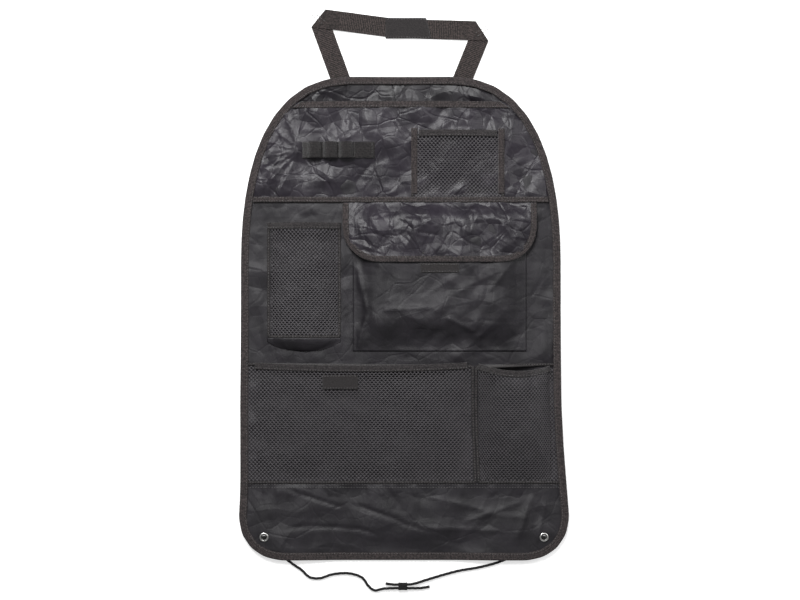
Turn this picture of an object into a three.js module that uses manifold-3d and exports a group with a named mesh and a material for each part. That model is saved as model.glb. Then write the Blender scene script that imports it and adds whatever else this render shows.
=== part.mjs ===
// Car seat back organizer, laid flat on its back: a bound nylon panel that carries slip, net and
// flap pockets, a row of pen loops, a headrest strap with a hook-and-loop closure, and two elastic
// cords that run from eyelets in the bottom corners.
//
// Millimetres. Each piece is drawn on the panel: x runs right from the panel's centre line, h runs
// up from its bottom edge, and z is the height above the floor. Every cloth piece is a sheet that
// follows the surface under it, so a change of one size moves what lies on it.

import * as THREE from 'three';
import { mergeVertices } from 'three/addons/utils/BufferGeometryUtils.js';
import Module from 'manifold-3d';

const wasm = await Module();
wasm.setup();

// Cloth, tape and clearance
const GAP = 0.3;
const PANEL_THICKNESS = 0.8;
const LAYER_THICKNESS = 0.6;
const TAPE_THICKNESS = 0.5;
const ELASTIC_THICKNESS = 0.9;
const PATCH_THICKNESS = 0.8;

// Panel outline
const PANEL_WIDTH = 411;
const CORNER_RADIUS = 52;
const WAIST_INSET = 6.5;
const SHOULDER_DROP = 230;
const SHOULDER_SIDE_PULL = 133;
const SHOULDER_TOP_PULL = 94;
const TOP_EDGE_WIDTH = 132;
const LEAN = -4;
const LEAN_FROM = 52;
const LEAN_RUN = 150;
const RIM_WIDTH = 9;
const RIM_SLACK = 0.25;
const SIDE_ROWS = [0.05, 0.1, 0.15, 0.28, 0.44, 0.62, 0.81, 1];
const ARCH_ROWS = 11;
const PANEL_CELLS = 14;

// Rows of pockets, from the bottom edge up
const SEAM_HEIGHT = 95;
const LOWER_DEPTH = 151;
const LOWER_SPACE = 14;
const MIDDLE_DEPTH = 160;
const DIVIDER_SPACE = 26;
const DIVIDER_WIDTH = 7;
const UPPER_DEPTH = 118;
const TOP_SPACE = 31;
const BAND_WIDTH = 7.5;
const BAND_SETBACK = 3.5;
const HEM = 5;

// Upper slip pocket
const SLIP_GAPE = 8;

// Pen loops
const PEN_LOOPS = 3;
const PEN_PITCH = 20;
const PEN_LOOP_HEIGHT = 9;
const PEN_BAND_WIDTH = 20;
const PEN_BAND_RISE = 48;
const PEN_BAND_INSET = 42;
const PEN_FIRST_TACK = 6;
const PEN_TACK = 2;
const PEN_TAIL = 24;

// Card pocket
const CARD_WIDTH = 116;
const CARD_DEPTH = 82;
const CARD_GAPE = 8;
const CARD_TAPE_WIDTH = 7.5;
const CARD_TAPE_RISE = 3;
const CARD_INSET = 28.5;

// Phone pocket
const PHONE_INSET = 32;
const PHONE_WIDTH = 92;
const PHONE_GAPE = 17;
const PHONE_BASE_DEPTH = 17;
const PHONE_BASE_GAPE = 9;

// Flap pocket
const FLAP_SPACE = 3;
const FLAP_OVERHANG = 12;
const FLAP_RIGHT_INSET = 21;
const FLAP_DROP = 74;
const FLAP_DROOP = 0.75;
const FLAP_TAPE_WIDTH = 7;
const BODY_GAPE = 11;
const BODY_RAMP = 26;
const SEAM_RAMP = 36;
const BODY_MOUTH_SPACE = 22;
const PATCH_LENGTH = 48;
const PATCH_WIDTH = 12;
const PATCH_SPACE = 2;

// Lower pockets
const BOTTLE_WIDTH = 98;
const BOTTLE_GAPE = 32;
const BOTTLE_BAND_DIP = 10;
const BOTTLE_GATHER_HEIGHT = 9;
const LARGE_GAPE = 11;
const LARGE_BAND_DIP = 4;
const TAB_LENGTH = 44;
const TAB_WIDTH = 18;
const TAB_INSET = 102;
const TAB_DROP = 11;

// Nets: diamond gaps between strands
const STRAND = 0.1;
const LARGE_TILES = [8, 4];
const BOTTLE_TILES = [4, 4];
const PHONE_TILES = [3, 4];
const CARD_TILES = [4, 2];

// Headrest strap
const STRAP_WIDTH = 24;
const STRAP_THICKNESS = 1.4;
const STRAP_TUCK = 20;
const LEFT_STRAP_BASE = 76;
const LEFT_FOLD = [-103, 74];
const RIGHT_STRAP_BASE = 78;
const RIGHT_FOLD = [101.5, 58];
const CLOSURE_PLACE = [8, 61.5];
const CLOSURE_LENGTH = 54;
const CLOSURE_WIDTH = 26;
const CLOSURE_SLANT = 7;
const CLOSURE_SEWN = 12;
const STRAP_END_SPACE = 4;

// Eyelets
const EYELET_INSET = 31;
const EYELET_HEIGHT = 28.5;
const EYELET_RADIUS = 5.75;
const EYELET_BORE = 2.6;
const BARREL_WALL = 0.6;
const FLANGE_RISE = 1.1;
const WASHER_THICKNESS = 0.6;

// Elastic cords
const CORD_DIAMETER = 3.5;
const CORD_FLOOR_GAP = 0.05;
const CORD_LIFT_REACH = 60;
const KNOT_RADIUS = 3.3;
const KNOT_HEIGHT = 3;
const SLEEVE_LENGTH = 11;
const SLEEVE_WALL = 0.7;
const SLEEVE_SLACK = 0.6;

// Loose folds of the panel below the pockets: from, to, reach and height
const FOLDS = [
  { from: [-150, 84], to: [20, 36], reach: 26, height: 2.6 },
  { from: [-30, 80], to: [120, 48], reach: 24, height: 2.2 },
  { from: [-110, 38], to: [110, 30], reach: 20, height: 1.6 },
  { from: [168, 84], to: [140, 24], reach: 22, height: 2.0 },
];

const DIVIDER_LOW = SEAM_HEIGHT + LOWER_DEPTH + LOWER_SPACE + MIDDLE_DEPTH + DIVIDER_SPACE;
const DIVIDER_TOP = DIVIDER_LOW + DIVIDER_WIDTH;
const DIVIDER_MIDDLE = (DIVIDER_LOW + DIVIDER_TOP) / 2;
const LOWER_TOP = SEAM_HEIGHT + LOWER_DEPTH;
const MIDDLE_LOW = LOWER_TOP + LOWER_SPACE;
const MIDDLE_TOP = MIDDLE_LOW + MIDDLE_DEPTH;
const SLIP_TOP = DIVIDER_TOP + UPPER_DEPTH;
const PANEL_HEIGHT = SLIP_TOP + TOP_SPACE;
const PANEL_REST = TAPE_THICKNESS + GAP + RIM_SLACK;
const LAYER_STEP = GAP + LAYER_THICKNESS;
const CORD_RADIUS = CORD_DIAMETER / 2;
const CORD_Z = CORD_RADIUS + CORD_FLOOR_GAP;
const WASHER_DROP = GAP + WASHER_THICKNESS + GAP;
const CORD_LIFT = CORD_DIAMETER + WASHER_DROP + GAP;
const BAND_STEP = TAPE_THICKNESS + GAP;

const { clamp, lerp, smoothstep } = THREE.MathUtils;

// Cloth colours
const nylon = { color: 0x2b282c, roughness: 0.42, metalness: 0 };
const tape = { color: 0x3a3533, roughness: 0.85, metalness: 0 };
const net = { color: 0x1a191b, roughness: 0.8, metalness: 0 };
const elastic = { color: 0x222023, roughness: 0.8, metalness: 0 };
const hook = { color: 0x161517, roughness: 0.95, metalness: 0 };
const webbing = { color: 0x35312e, roughness: 0.9, metalness: 0 };
const nickel = { color: 0xd8d6d0, roughness: 0.22, metalness: 1 };

const organizer = new THREE.Group();
organizer.name = 'seat_back_organizer';

function addPiece(name, geometry, finish) {
  const mesh = new THREE.Mesh(outward(geometry), new THREE.MeshStandardMaterial(finish));
  mesh.name = name;
  organizer.add(mesh);
  return mesh;
}

// One merged, outward facing mesh with positions only
function outward(geometry) {
  const bare = geometry.clone();
  bare.deleteAttribute('normal');
  bare.deleteAttribute('uv');
  const merged = mergeVertices(bare, 1e-4);
  const index = merged.index.array;
  const place = merged.attributes.position;
  const corners = [new THREE.Vector3(), new THREE.Vector3(), new THREE.Vector3()];
  let volume = 0;
  for (let i = 0; i < index.length; i += 3) {
    corners.forEach((corner, k) => corner.fromBufferAttribute(place, index[i + k]));
    volume += corners[0].dot(corners[1].clone().cross(corners[2]));
  }
  if (volume < 0) {
    for (let i = 0; i < index.length; i += 3) {
      [index[i + 1], index[i + 2]] = [index[i + 2], index[i + 1]];
    }
  }
  merged.computeVertexNormals();
  return merged;
}

function geometryOf(points, triangles) {
  const geometry = new THREE.BufferGeometry();
  geometry.setAttribute('position', new THREE.Float32BufferAttribute(points.flat(), 3));
  geometry.setIndex(triangles.flat());
  return geometry;
}

function toSolid(geometry) {
  const closed = outward(geometry);
  return new wasm.Manifold(
    new wasm.Mesh({
      numProp: 3,
      vertProperties: new Float32Array(closed.attributes.position.array),
      triVerts: new Uint32Array(closed.index.array),
    }),
  );
}

function fromSolid(solid) {
  const mesh = solid.getMesh();
  const geometry = new THREE.BufferGeometry();
  geometry.setAttribute('position', new THREE.BufferAttribute(mesh.vertProperties, mesh.numProp));
  geometry.setIndex(new THREE.BufferAttribute(mesh.triVerts, 1));
  return geometry;
}

// The organizer was laid down leaning a little to the left
function lean(h) {
  return LEAN * smoothstep(h, LEAN_FROM, LEAN_FROM + LEAN_RUN);
}

function place(x, h, z) {
  return [x + lean(h), h, z];
}

// Right half of the outline, from the bottom edge up to the top edge
function outlineProfile() {
  const half = PANEL_WIDTH / 2;
  const waist = half - WAIST_INSET;
  const shoulder = PANEL_HEIGHT - SHOULDER_DROP;
  const top = TOP_EDGE_WIDTH / 2;
  const centre = half - CORNER_RADIUS;
  const corner = new THREE.EllipseCurve(centre, CORNER_RADIUS, CORNER_RADIUS, CORNER_RADIUS, -Math.PI / 2, 0);
  const side = new THREE.CubicBezierCurve(
    new THREE.Vector2(half, CORNER_RADIUS),
    new THREE.Vector2(waist, lerp(CORNER_RADIUS, shoulder, 0.3)),
    new THREE.Vector2(waist, lerp(CORNER_RADIUS, shoulder, 0.6)),
    new THREE.Vector2(waist, shoulder),
  );
  const shoulderArch = new THREE.CubicBezierCurve(
    new THREE.Vector2(waist, shoulder),
    new THREE.Vector2(waist, shoulder + SHOULDER_SIDE_PULL),
    new THREE.Vector2(top + SHOULDER_TOP_PULL, PANEL_HEIGHT),
    new THREE.Vector2(top, PANEL_HEIGHT),
  );
  return [
    ...corner.getSpacedPoints(4),
    ...SIDE_ROWS.map((share) => side.getPointAt(share)),
    ...shoulderArch.getSpacedPoints(ARCH_ROWS).slice(1),
  ];
}

// The normal on the left of a path, averaged where two stretches meet
function leftNormals(path, closed) {
  const count = path.length;
  return path.map((point, i) => {
    const before = closed ? path[(i + count - 1) % count] : path[Math.max(i - 1, 0)];
    const after = closed ? path[(i + 1) % count] : path[Math.min(i + 1, count - 1)];
    const normals = [[before, point], [point, after]]
      .filter(([a, b]) => a.distanceTo(b) > 0)
      .map(([a, b]) => new THREE.Vector2(a.y - b.y, b.x - a.x).normalize());
    const mean = normals.reduce((sum, n) => sum.add(n), new THREE.Vector2()).normalize();
    return mean.divideScalar(mean.dot(normals[0]));
  });
}

const PROFILE = outlineProfile();

function offsetPath(path, closed, distance) {
  const normals = leftNormals(path, closed);
  return path.map((point, i) => point.clone().addScaledVector(normals[i], distance));
}

// Half width of a profile at a height
function halfWidth(profile, h) {
  const last = profile.length - 1;
  let i = profile.findIndex((point) => point.y >= h);
  i = i < 0 ? last : Math.max(i, 1);
  const [low, high] = [profile[i - 1], profile[i]];
  const t = clamp((h - low.y) / (high.y - low.y), 0, 1);
  return lerp(low.x, high.x, t);
}

const INNER_PROFILE = offsetPath(PROFILE, false, RIM_WIDTH + GAP);
const edgeAt = (h) => halfWidth(PROFILE, h);
const innerEdgeAt = (h) => halfWidth(INNER_PROFILE, h);

const EYELET_X = PANEL_WIDTH / 2 - EYELET_INSET;

// Cord routes, chosen by hand: x, h and z
const LEFT_CORD = [
  [-EYELET_X, EYELET_HEIGHT, CORD_Z],
  [-164, 18, CORD_Z],
  [-156, 9, CORD_Z],
  [-147, 0.5, CORD_Z],
  [-137, -7, CORD_Z],
  [-128, -13, CORD_Z],
  [-118, -22, CORD_Z],
  [-105.5, -23.5, CORD_Z],
  [-89, -18.5, CORD_Z],
  [-67.5, -17.5, CORD_Z],
  [-52, -23, CORD_Z],
  [-44.5, -33, CORD_Z],
  [-37, -38.5, CORD_Z],
  [-26, -36.5, CORD_Z + 0.4],
  [-12, -35.7, CORD_Z + 1.05],
  [9, -35.7, CORD_Z + 1.05],
  [21, -35.6, CORD_Z + 0.4],
  [32, -34, CORD_Z],
];
const RIGHT_CORD = [
  [EYELET_X, EYELET_HEIGHT, CORD_Z],
  [157, 15, CORD_Z],
  [138, 5, CORD_Z],
  [116, -4, CORD_Z],
  [92.5, -10, CORD_Z],
  [69, -14, CORD_Z],
  [48, -19.5, CORD_Z],
  [28, -25.5, CORD_Z + 0.3],
  [10, -30.6, CORD_Z + 1.05],
  [-12, -31.2, CORD_Z + 1.05],
  [-23, -30, CORD_Z + 0.4],
];

function distanceToRoute(x, h, route) {
  const point = new THREE.Vector3(x, h, 0);
  const nearest = new THREE.Vector3();
  const stretch = new THREE.Line3();
  let least = Infinity;
  for (let i = 1; i < route.length; i += 1) {
    stretch.start.set(route[i - 1][0], route[i - 1][1], 0);
    stretch.end.set(route[i][0], route[i][1], 0);
    stretch.closestPointToPoint(point, true, nearest);
    least = Math.min(least, nearest.distanceTo(point));
  }
  return least;
}

// The panel and its rim ride over the cords where these run behind it
function cordLift(x, h) {
  const hidden = x < 0 ? LEFT_CORD.slice(0, 5) : RIGHT_CORD.slice(0, 4);
  const distance = distanceToRoute(x, h, hidden);
  return CORD_LIFT * (1 - smoothstep(distance, CORD_RADIUS * 2, CORD_LIFT_REACH));
}

// The strap ends are sewn behind the panel and its rim
function strapLift(x, h) {
  const near = Math.min(Math.abs(x + LEFT_STRAP_BASE), Math.abs(x - RIGHT_STRAP_BASE));
  const across = 1 - smoothstep(near, STRAP_WIDTH, STRAP_WIDTH * 2.4);
  const down = smoothstep(h, SLIP_TOP, PANEL_HEIGHT - STRAP_TUCK);
  return (STRAP_THICKNESS + GAP) * across * down;
}

function foldHeight(x, h) {
  return FOLDS.reduce((sum, fold) => {
    const distance = distanceToRoute(x, h, [fold.from, fold.to]);
    return sum + fold.height * (1 - smoothstep(distance, 0, fold.reach));
  }, 0);
}

// Folds die out at the rim and under the lower pockets
function panelFolds(x, h) {
  const rim = smoothstep(Math.min(edgeAt(h) - Math.abs(x), h), RIM_WIDTH, RIM_WIDTH * 3);
  const seam = 1 - smoothstep(h, SEAM_HEIGHT - 2 * HEM, SEAM_HEIGHT - HEM);
  return foldHeight(x, h) * rim * seam;
}

const PANEL_COLUMNS = Array.from({ length: PANEL_CELLS + 1 }, (_, j) => (2 * j) / PANEL_CELLS - 1);

// A height known at the panel's grid points and straight between them
function onPanelGrid(height) {
  const rows = PROFILE.map((point) => PANEL_COLUMNS.map((s) => height(s * point.x, point.y)));
  return (x, h) => {
    let i = PROFILE.findIndex((point) => point.y >= h);
    i = i < 0 ? PROFILE.length - 1 : Math.max(i, 1);
    const t = clamp((h - PROFILE[i - 1].y) / (PROFILE[i].y - PROFILE[i - 1].y), 0, 1);
    const s = clamp(x / lerp(PROFILE[i - 1].x, PROFILE[i].x, t), -1, 1);
    const j = Math.max(PANEL_COLUMNS.findIndex((column) => column >= s), 1);
    const u = (s - PANEL_COLUMNS[j - 1]) / (PANEL_COLUMNS[j] - PANEL_COLUMNS[j - 1]);
    const [a, b, c, d] = [rows[i - 1][j - 1], rows[i - 1][j], rows[i][j], rows[i][j - 1]];
    return u > t ? a + (b - a) * u + (c - b) * t : a + (d - a) * t + (c - d) * u;
  };
}

const panelBase = onPanelGrid((x, h) => PANEL_REST + cordLift(x, h) + strapLift(x, h) + panelFolds(x, h));
const panelTop = (x, h) => panelBase(x, h) + PANEL_THICKNESS;
const layerBase = (x, h) => panelTop(x, h) + GAP;

// A plan is a flat set of points (x, h) and of triangles, seen from the front
class Plan {
  constructor() {
    this.points = [];
    this.triangles = [];
    this.known = new Map();
  }

  point([x, h]) {
    const key = `${x.toFixed(4)},${h.toFixed(4)}`;
    if (!this.known.has(key)) {
      this.known.set(key, this.points.length);
      this.points.push([x, h]);
    }
    return this.known.get(key);
  }

  triangle(a, b, c) {
    const corners = [this.point(a), this.point(b), this.point(c)];
    if (new Set(corners).size === 3) {
      this.triangles.push(corners);
    }
  }

  quad(a, b, c, d) {
    this.triangle(a, b, c);
    this.triangle(a, c, d);
  }
}

// Rows of quads, where at(i, j) gives the point of row i and column j
function gridPlan(rows, columns, at) {
  const plan = new Plan();
  for (let i = 0; i < rows; i += 1) {
    for (let j = 0; j < columns; j += 1) {
      plan.quad(at(i, j), at(i, j + 1), at(i + 1, j + 1), at(i + 1, j));
    }
  }
  return plan;
}

// Where the corners of a row of tiles and of their gaps fall
function tileStops(count, along) {
  const inside = Array.from({ length: count }, (_, i) => [i, i + 0.5 - STRAND, i + 0.5 + STRAND]);
  return [...inside.flat(), count].map(along);
}

// A net: tiles that each hold one diamond gap and share four more with their neighbours, in a
// plain hem. at(u, v) places the net, and the hems are shares of its width and height.
function netPlan([columns, rows], hem, at) {
  const plan = new Plan();
  const u = (i) => lerp(hem.left, 1 - hem.right, i / columns);
  const v = (j) => lerp(hem.bottom, 1 - hem.top, j / rows);
  const half = 0.5;
  for (let i = 0; i < columns; i += 1) {
    for (let j = 0; j < rows; j += 1) {
      const p = (a, b) => at(u(i + a), v(j + b));
      const inner = [p(half, STRAND), p(1 - STRAND, half), p(half, 1 - STRAND), p(STRAND, half)];
      const before = [
        p(half - STRAND, 0), p(1, half - STRAND), p(half + STRAND, 1), p(0, half + STRAND),
      ];
      const after = [
        p(half + STRAND, 0), p(1, half + STRAND), p(half - STRAND, 1), p(0, half - STRAND),
      ];
      for (let k = 0; k < 4; k += 1) {
        const next = (k + 1) % 4;
        plan.triangle(before[k], after[k], inner[k]);
        plan.quad(inner[k], after[k], before[next], inner[next]);
      }
    }
  }
  const across = tileStops(columns, u);
  const up = tileStops(rows, v);
  for (let k = 1; k < across.length; k += 1) {
    const [a, b] = [across[k - 1], across[k]];
    plan.quad(at(a, 0), at(b, 0), at(b, hem.bottom), at(a, hem.bottom));
    plan.quad(at(a, 1 - hem.top), at(b, 1 - hem.top), at(b, 1), at(a, 1));
  }
  const levels = [0, ...up, 1];
  for (let k = 1; k < levels.length; k += 1) {
    const [a, b] = [levels[k - 1], levels[k]];
    plan.quad(at(0, a), at(hem.left, a), at(hem.left, b), at(0, b));
    plan.quad(at(1 - hem.right, a), at(1, a), at(1, b), at(1 - hem.right, b));
  }
  return plan;
}

// A sheet of even thickness standing on base(x, h)
function sheet(plan, base, thickness) {
  const { points, triangles } = plan;
  const count = points.length;
  const low = points.map(([x, h]) => place(x, h, base(x, h)));
  const high = points.map(([x, h]) => place(x, h, base(x, h) + thickness));
  const faces = [];
  const edges = new Map();
  for (const [a, b, c] of triangles) {
    faces.push([a + count, b + count, c + count], [a, c, b]);
    for (const [from, to] of [[a, b], [b, c], [c, a]]) {
      edges.set(`${from},${to}`, [from, to]);
    }
  }
  for (const [from, to] of edges.values()) {
    if (!edges.has(`${to},${from}`)) {
      faces.push([from, to, to + count], [from, to + count, from + count]);
    }
  }
  return geometryOf([...low, ...high], faces);
}

// Tape folded round an edge, with legs that end at the inner points. The covered piece is on the
// left of the path, between low and high.
function foldedTape(path, closed, inners, low, high) {
  const thickness = TAPE_THICKNESS;
  const walls = offsetPath(path, closed, -GAP);
  const outers = offsetPath(path, closed, -GAP - thickness);
  const points = [];
  path.forEach((edge, i) => {
    const [inner, wall, outer] = [inners[i], walls[i], outers[i]];
    const under = (at) => low(at.x, at.y) - GAP;
    const over = (at) => high(at.x, at.y) + GAP;
    const corners = [
      [inner, under(inner) - thickness],
      [outer, under(edge) - thickness],
      [outer, over(edge) + thickness],
      [inner, over(inner) + thickness],
      [inner, over(inner)],
      [wall, over(edge)],
      [wall, under(edge)],
      [inner, under(inner)],
    ];
    corners.forEach(([at, z]) => points.push(place(at.x, at.y, z)));
  });
  const corners = 8;
  const spans = closed ? path.length : path.length - 1;
  const faces = [];
  for (let i = 0; i < spans; i += 1) {
    const next = (i + 1) % path.length;
    for (let k = 0; k < corners; k += 1) {
      const other = (k + 1) % corners;
      const [a, b] = [i * corners + k, i * corners + other];
      const [c, d] = [next * corners + other, next * corners + k];
      faces.push([a, c, b], [a, d, c]);
    }
  }
  if (!closed) {
    const cap = [[0, 1, 6], [0, 6, 7], [1, 2, 5], [1, 5, 6], [2, 3, 4], [2, 4, 5]];
    const last = spans * corners;
    cap.forEach(([a, b, c]) => faces.push([a, b, c], [last + a, last + c, last + b]));
  }
  return geometryOf(points, faces);
}

// A shape known at its stops and straight between them
function straightBetween(stops, shape) {
  const values = stops.map(shape);
  return (t) => {
    const k = clamp(stops.findIndex((stop) => stop >= t), 1, stops.length - 1);
    return lerp(values[k - 1], values[k], clamp((t - stops[k - 1]) / (stops[k] - stops[k - 1]), 0, 1));
  };
}

// Room for the back leg of the tape folded round a pocket's mouth
function mouthLift(h, mouth) {
  return BAND_STEP * smoothstep(h, mouth - BAND_WIDTH * 3.5, mouth - BAND_WIDTH - 1);
}

// 0 at both ends of a span and 1 over its middle
function arch(t, power = 2.6) {
  const s = clamp(t, 0, 1);
  return 1 - Math.abs(2 * s - 1) ** power;
}

function backPanel() {
  const at = (i, j) => [PANEL_COLUMNS[j] * PROFILE[i].x, PROFILE[i].y];
  const plan = gridPlan(PROFILE.length - 1, PANEL_COLUMNS.length - 1, at);
  let solid = toSolid(sheet(plan, panelBase, PANEL_THICKNESS));
  for (const x of [-EYELET_X, EYELET_X]) {
    const hole = new THREE.CylinderGeometry(1, 1, 1, 12);
    const radius = EYELET_BORE + BARREL_WALL + GAP;
    hole.rotateX(Math.PI / 2);
    hole.scale(radius, radius, CORD_LIFT * 4);
    hole.translate(x + lean(EYELET_HEIGHT), EYELET_HEIGHT, CORD_LIFT);
    solid = solid.subtract(toSolid(hole));
  }
  addPiece('back_panel', fromSolid(solid), nylon);
}

// Height of what the rim covers: one more layer where a pocket's side is caught in it
function coveredTop(x, h) {
  const reach = 26;
  const ramp = 20;
  const within = (low, high) =>
    smoothstep(h, low - reach - ramp, low - reach) * (1 - smoothstep(h, high + reach, high + reach + ramp));
  const caught = Math.max(within(SEAM_HEIGHT, LOWER_TOP), within(DIVIDER_MIDDLE, SLIP_TOP));
  return panelTop(x, h) + RIM_SLACK + (LAYER_STEP + BAND_STEP) * caught;
}

function edgeBinding() {
  const across = PANEL_COLUMNS.slice(1, -1);
  const bottom = across.map((s) => new THREE.Vector2(s * PROFILE[0].x, 0));
  const crown = PROFILE[PROFILE.length - 1];
  const top = across.map((s) => new THREE.Vector2(-s * crown.x, crown.y));
  const left = PROFILE.map((point) => new THREE.Vector2(-point.x, point.y)).reverse();
  const path = [...bottom, ...PROFILE, ...top, ...left];
  const under = (x, h) => panelBase(x, h) - RIM_SLACK;
  addPiece('edge_binding', foldedTape(path, true, offsetPath(path, true, RIM_WIDTH), under, coveredTop), tape);
}

// Where a pocket caught in the rim starts to stand off the panel
const sewnEdgeAt = (h) => innerEdgeAt(Math.min(h, SLIP_TOP)) - HEM;

// Slip pocket: flat where it is sewn, open along its top edge
function slipGape(x, h) {
  const across = arch((x / sewnEdgeAt(h) + 1) / 2);
  const up = smoothstep(h, DIVIDER_TOP + HEM, lerp(DIVIDER_TOP, SLIP_TOP, 0.75));
  return SLIP_GAPE * across * up;
}

const slipBase = (x, h) => layerBase(x, h) + slipGape(x, h) + mouthLift(h, SLIP_TOP);
const slipTop = (x, h) => slipBase(x, h) + LAYER_THICKNESS;

function upperPocket() {
  const rows = 7;
  const columns = 16;
  const at = (i, j) => {
    const level = lerp(DIVIDER_MIDDLE + GAP, SLIP_TOP - BAND_WIDTH, i / (rows - 1));
    const h = i === rows ? SLIP_TOP : level;
    const inside = sewnEdgeAt(h) * lerp(-1, 1, (j - 1) / (columns - 2));
    const edge = edgeAt(h) * Math.sign(j - columns / 2);
    return [j % columns === 0 ? edge : inside, h];
  };
  addPiece('upper_pocket_panel', sheet(gridPlan(rows, columns, at), slipBase, LAYER_THICKNESS), nylon);
  const reach = sewnEdgeAt(SLIP_TOP);
  const steps = columns - 2;
  const row = (h) => Array.from({ length: steps + 1 }, (_, j) =>
    new THREE.Vector2(lerp(reach, -reach, j / steps), h));
  const binding = foldedTape(row(SLIP_TOP), false, row(SLIP_TOP - BAND_WIDTH), slipBase, slipTop);
  addPiece('upper_pocket_binding', binding, tape);
}

function dividerBinding() {
  const columns = 16;
  const rows = 1;
  const at = (i, j) => {
    const h = lerp(DIVIDER_LOW, DIVIDER_TOP, i / rows);
    return [lerp(-innerEdgeAt(h), innerEdgeAt(h), j / columns), h];
  };
  const base = (x, h) => layerBase(x, h) + 2 * LAYER_STEP;
  addPiece('divider_binding', sheet(gridPlan(rows, columns, at), base, TAPE_THICKNESS), tape);
}

// Pen band: tacked down between the loops, with a flat tail on the right
function penLoops() {
  const low = DIVIDER_TOP + PEN_BAND_RISE;
  const high = low + PEN_BAND_WIDTH;
  const start = -innerEdgeAt(high) + PEN_BAND_INSET;
  const loopSteps = 9;
  const stations = [0];
  const lifts = [0];
  for (let loop = 0; loop < PEN_LOOPS; loop += 1) {
    const from = PEN_FIRST_TACK + loop * PEN_PITCH;
    for (let k = 0; k <= loopSteps; k += 1) {
      const angle = (Math.PI * k) / loopSteps;
      stations.push(from + (PEN_PITCH - PEN_TACK) * (1 - Math.cos(angle)) / 2);
      lifts.push(PEN_LOOP_HEIGHT * Math.sin(angle));
    }
  }
  stations.push(PEN_FIRST_TACK + PEN_LOOPS * PEN_PITCH + PEN_TAIL);
  lifts.push(0);
  const at = (i, j) => [start + stations[j], i ? high : low];
  const plan = gridPlan(1, stations.length - 1, at);
  const lift = new Map(stations.map((station, j) => [(start + station).toFixed(4), lifts[j]]));
  const base = (x, h) => slipTop(x, h) + 2 * GAP + lift.get(x.toFixed(4));
  addPiece('pen_loop_band', sheet(plan, base, ELASTIC_THICKNESS), elastic);
}

// A net sewn along its sides and bottom, with tape folded round its mouth. sewn gives the hems, and
// band how far from each side the tape stops.
function netPocket(name, { left, right, low, mouth, tiles, sewn, band, ground, gape, rise, ripple = 0 }) {
  const top = mouth(left(low));
  const width = right(top) - left(top);
  const hem = {
    left: sewn.left / width,
    right: sewn.right / width,
    bottom: sewn.bottom / (top - low),
    top: BAND_WIDTH / (top - low),
  };
  const stops = [0, ...tileStops(tiles[0], (i) => lerp(hem.left, 1 - hem.right, i / tiles[0])), 1];
  const across = straightBetween(stops, (u) => arch((u - hem.left) / (1 - hem.left - hem.right)));
  const waves = straightBetween(stops, (u) => ripple * arch(u) * (stops.indexOf(u) % 2 ? 1 : -1));
  const base = (x, h) => {
    const u = (x - left(h)) / (right(h) - left(h));
    const v = clamp((h - low - sewn.bottom) / (top - low - sewn.bottom), 0, 1);
    const gathers = waves(u) * v * (1 - v) ** 3;
    return ground(x, h) + gape * across(u) * rise(v) + gathers + mouthLift(h, mouth(x));
  };
  const cover = (x, h) => base(x, h) + LAYER_THICKNESS;
  const at = (u, v) => {
    const level = lerp(low, top, v);
    const x = lerp(left(level), right(level), u);
    return [x, lerp(low, mouth(x), v)];
  };
  addPiece(`${name}_net`, sheet(netPlan(tiles, hem, at), base, LAYER_THICKNESS), net);
  const [from, to] = [1 - band.right / width, band.left / width];
  const inside = stops.filter((u) => u < from && u > to);
  const row = (v) => [from, ...inside.toReversed(), to].map((u) => new THREE.Vector2(...at(u, v)));
  const [edge, inner] = [row(1), row(1 - hem.top)];
  addPiece(`${name}_top_band`, foldedTape(edge, false, inner, base, cover), elastic);
  const levels = tileStops(tiles[1], (j) => lerp(hem.bottom, 1 - hem.top, j / tiles[1]));
  return { cover, levels: [...levels, 1].map((v) => lerp(low, top, v)) };
}

// Card pocket, sewn on the slip pocket
function cardPocket() {
  const high = DIVIDER_TOP + CARD_DEPTH;
  const right = innerEdgeAt(high) - CARD_INSET;
  const left = right - CARD_WIDTH;
  const sewn = CARD_TAPE_WIDTH + GAP;
  const { levels } = netPocket('card_pocket', {
    left: () => left,
    right: () => right,
    low: DIVIDER_MIDDLE + GAP,
    mouth: () => high,
    tiles: CARD_TILES,
    sewn: { left: sewn, right: sewn, bottom: DIVIDER_WIDTH },
    band: { left: sewn, right: sewn },
    ground: (x, h) => slipTop(x, h) + GAP,
    gape: CARD_GAPE,
    rise: (v) => smoothstep(v, 0, 1),
  });
  const rows = [...levels, high + CARD_TAPE_RISE];
  const strips = { left, right: right - CARD_TAPE_WIDTH };
  for (const [side, from] of Object.entries(strips)) {
    const strip = (i, j) => [from + j * CARD_TAPE_WIDTH, rows[i]];
    const above = (x, h) => slipTop(x, h) + LAYER_STEP + GAP + mouthLift(h, high);
    const tapeSheet = sheet(gridPlan(rows.length - 1, 1, strip), above, TAPE_THICKNESS);
    addPiece(`card_pocket_${side}_binding`, tapeSheet, tape);
  }
}

const PHONE_LEFT = -innerEdgeAt(MIDDLE_LOW) + PHONE_INSET - RIM_WIDTH;
const PHONE_RIGHT = PHONE_LEFT + PHONE_WIDTH;

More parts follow.
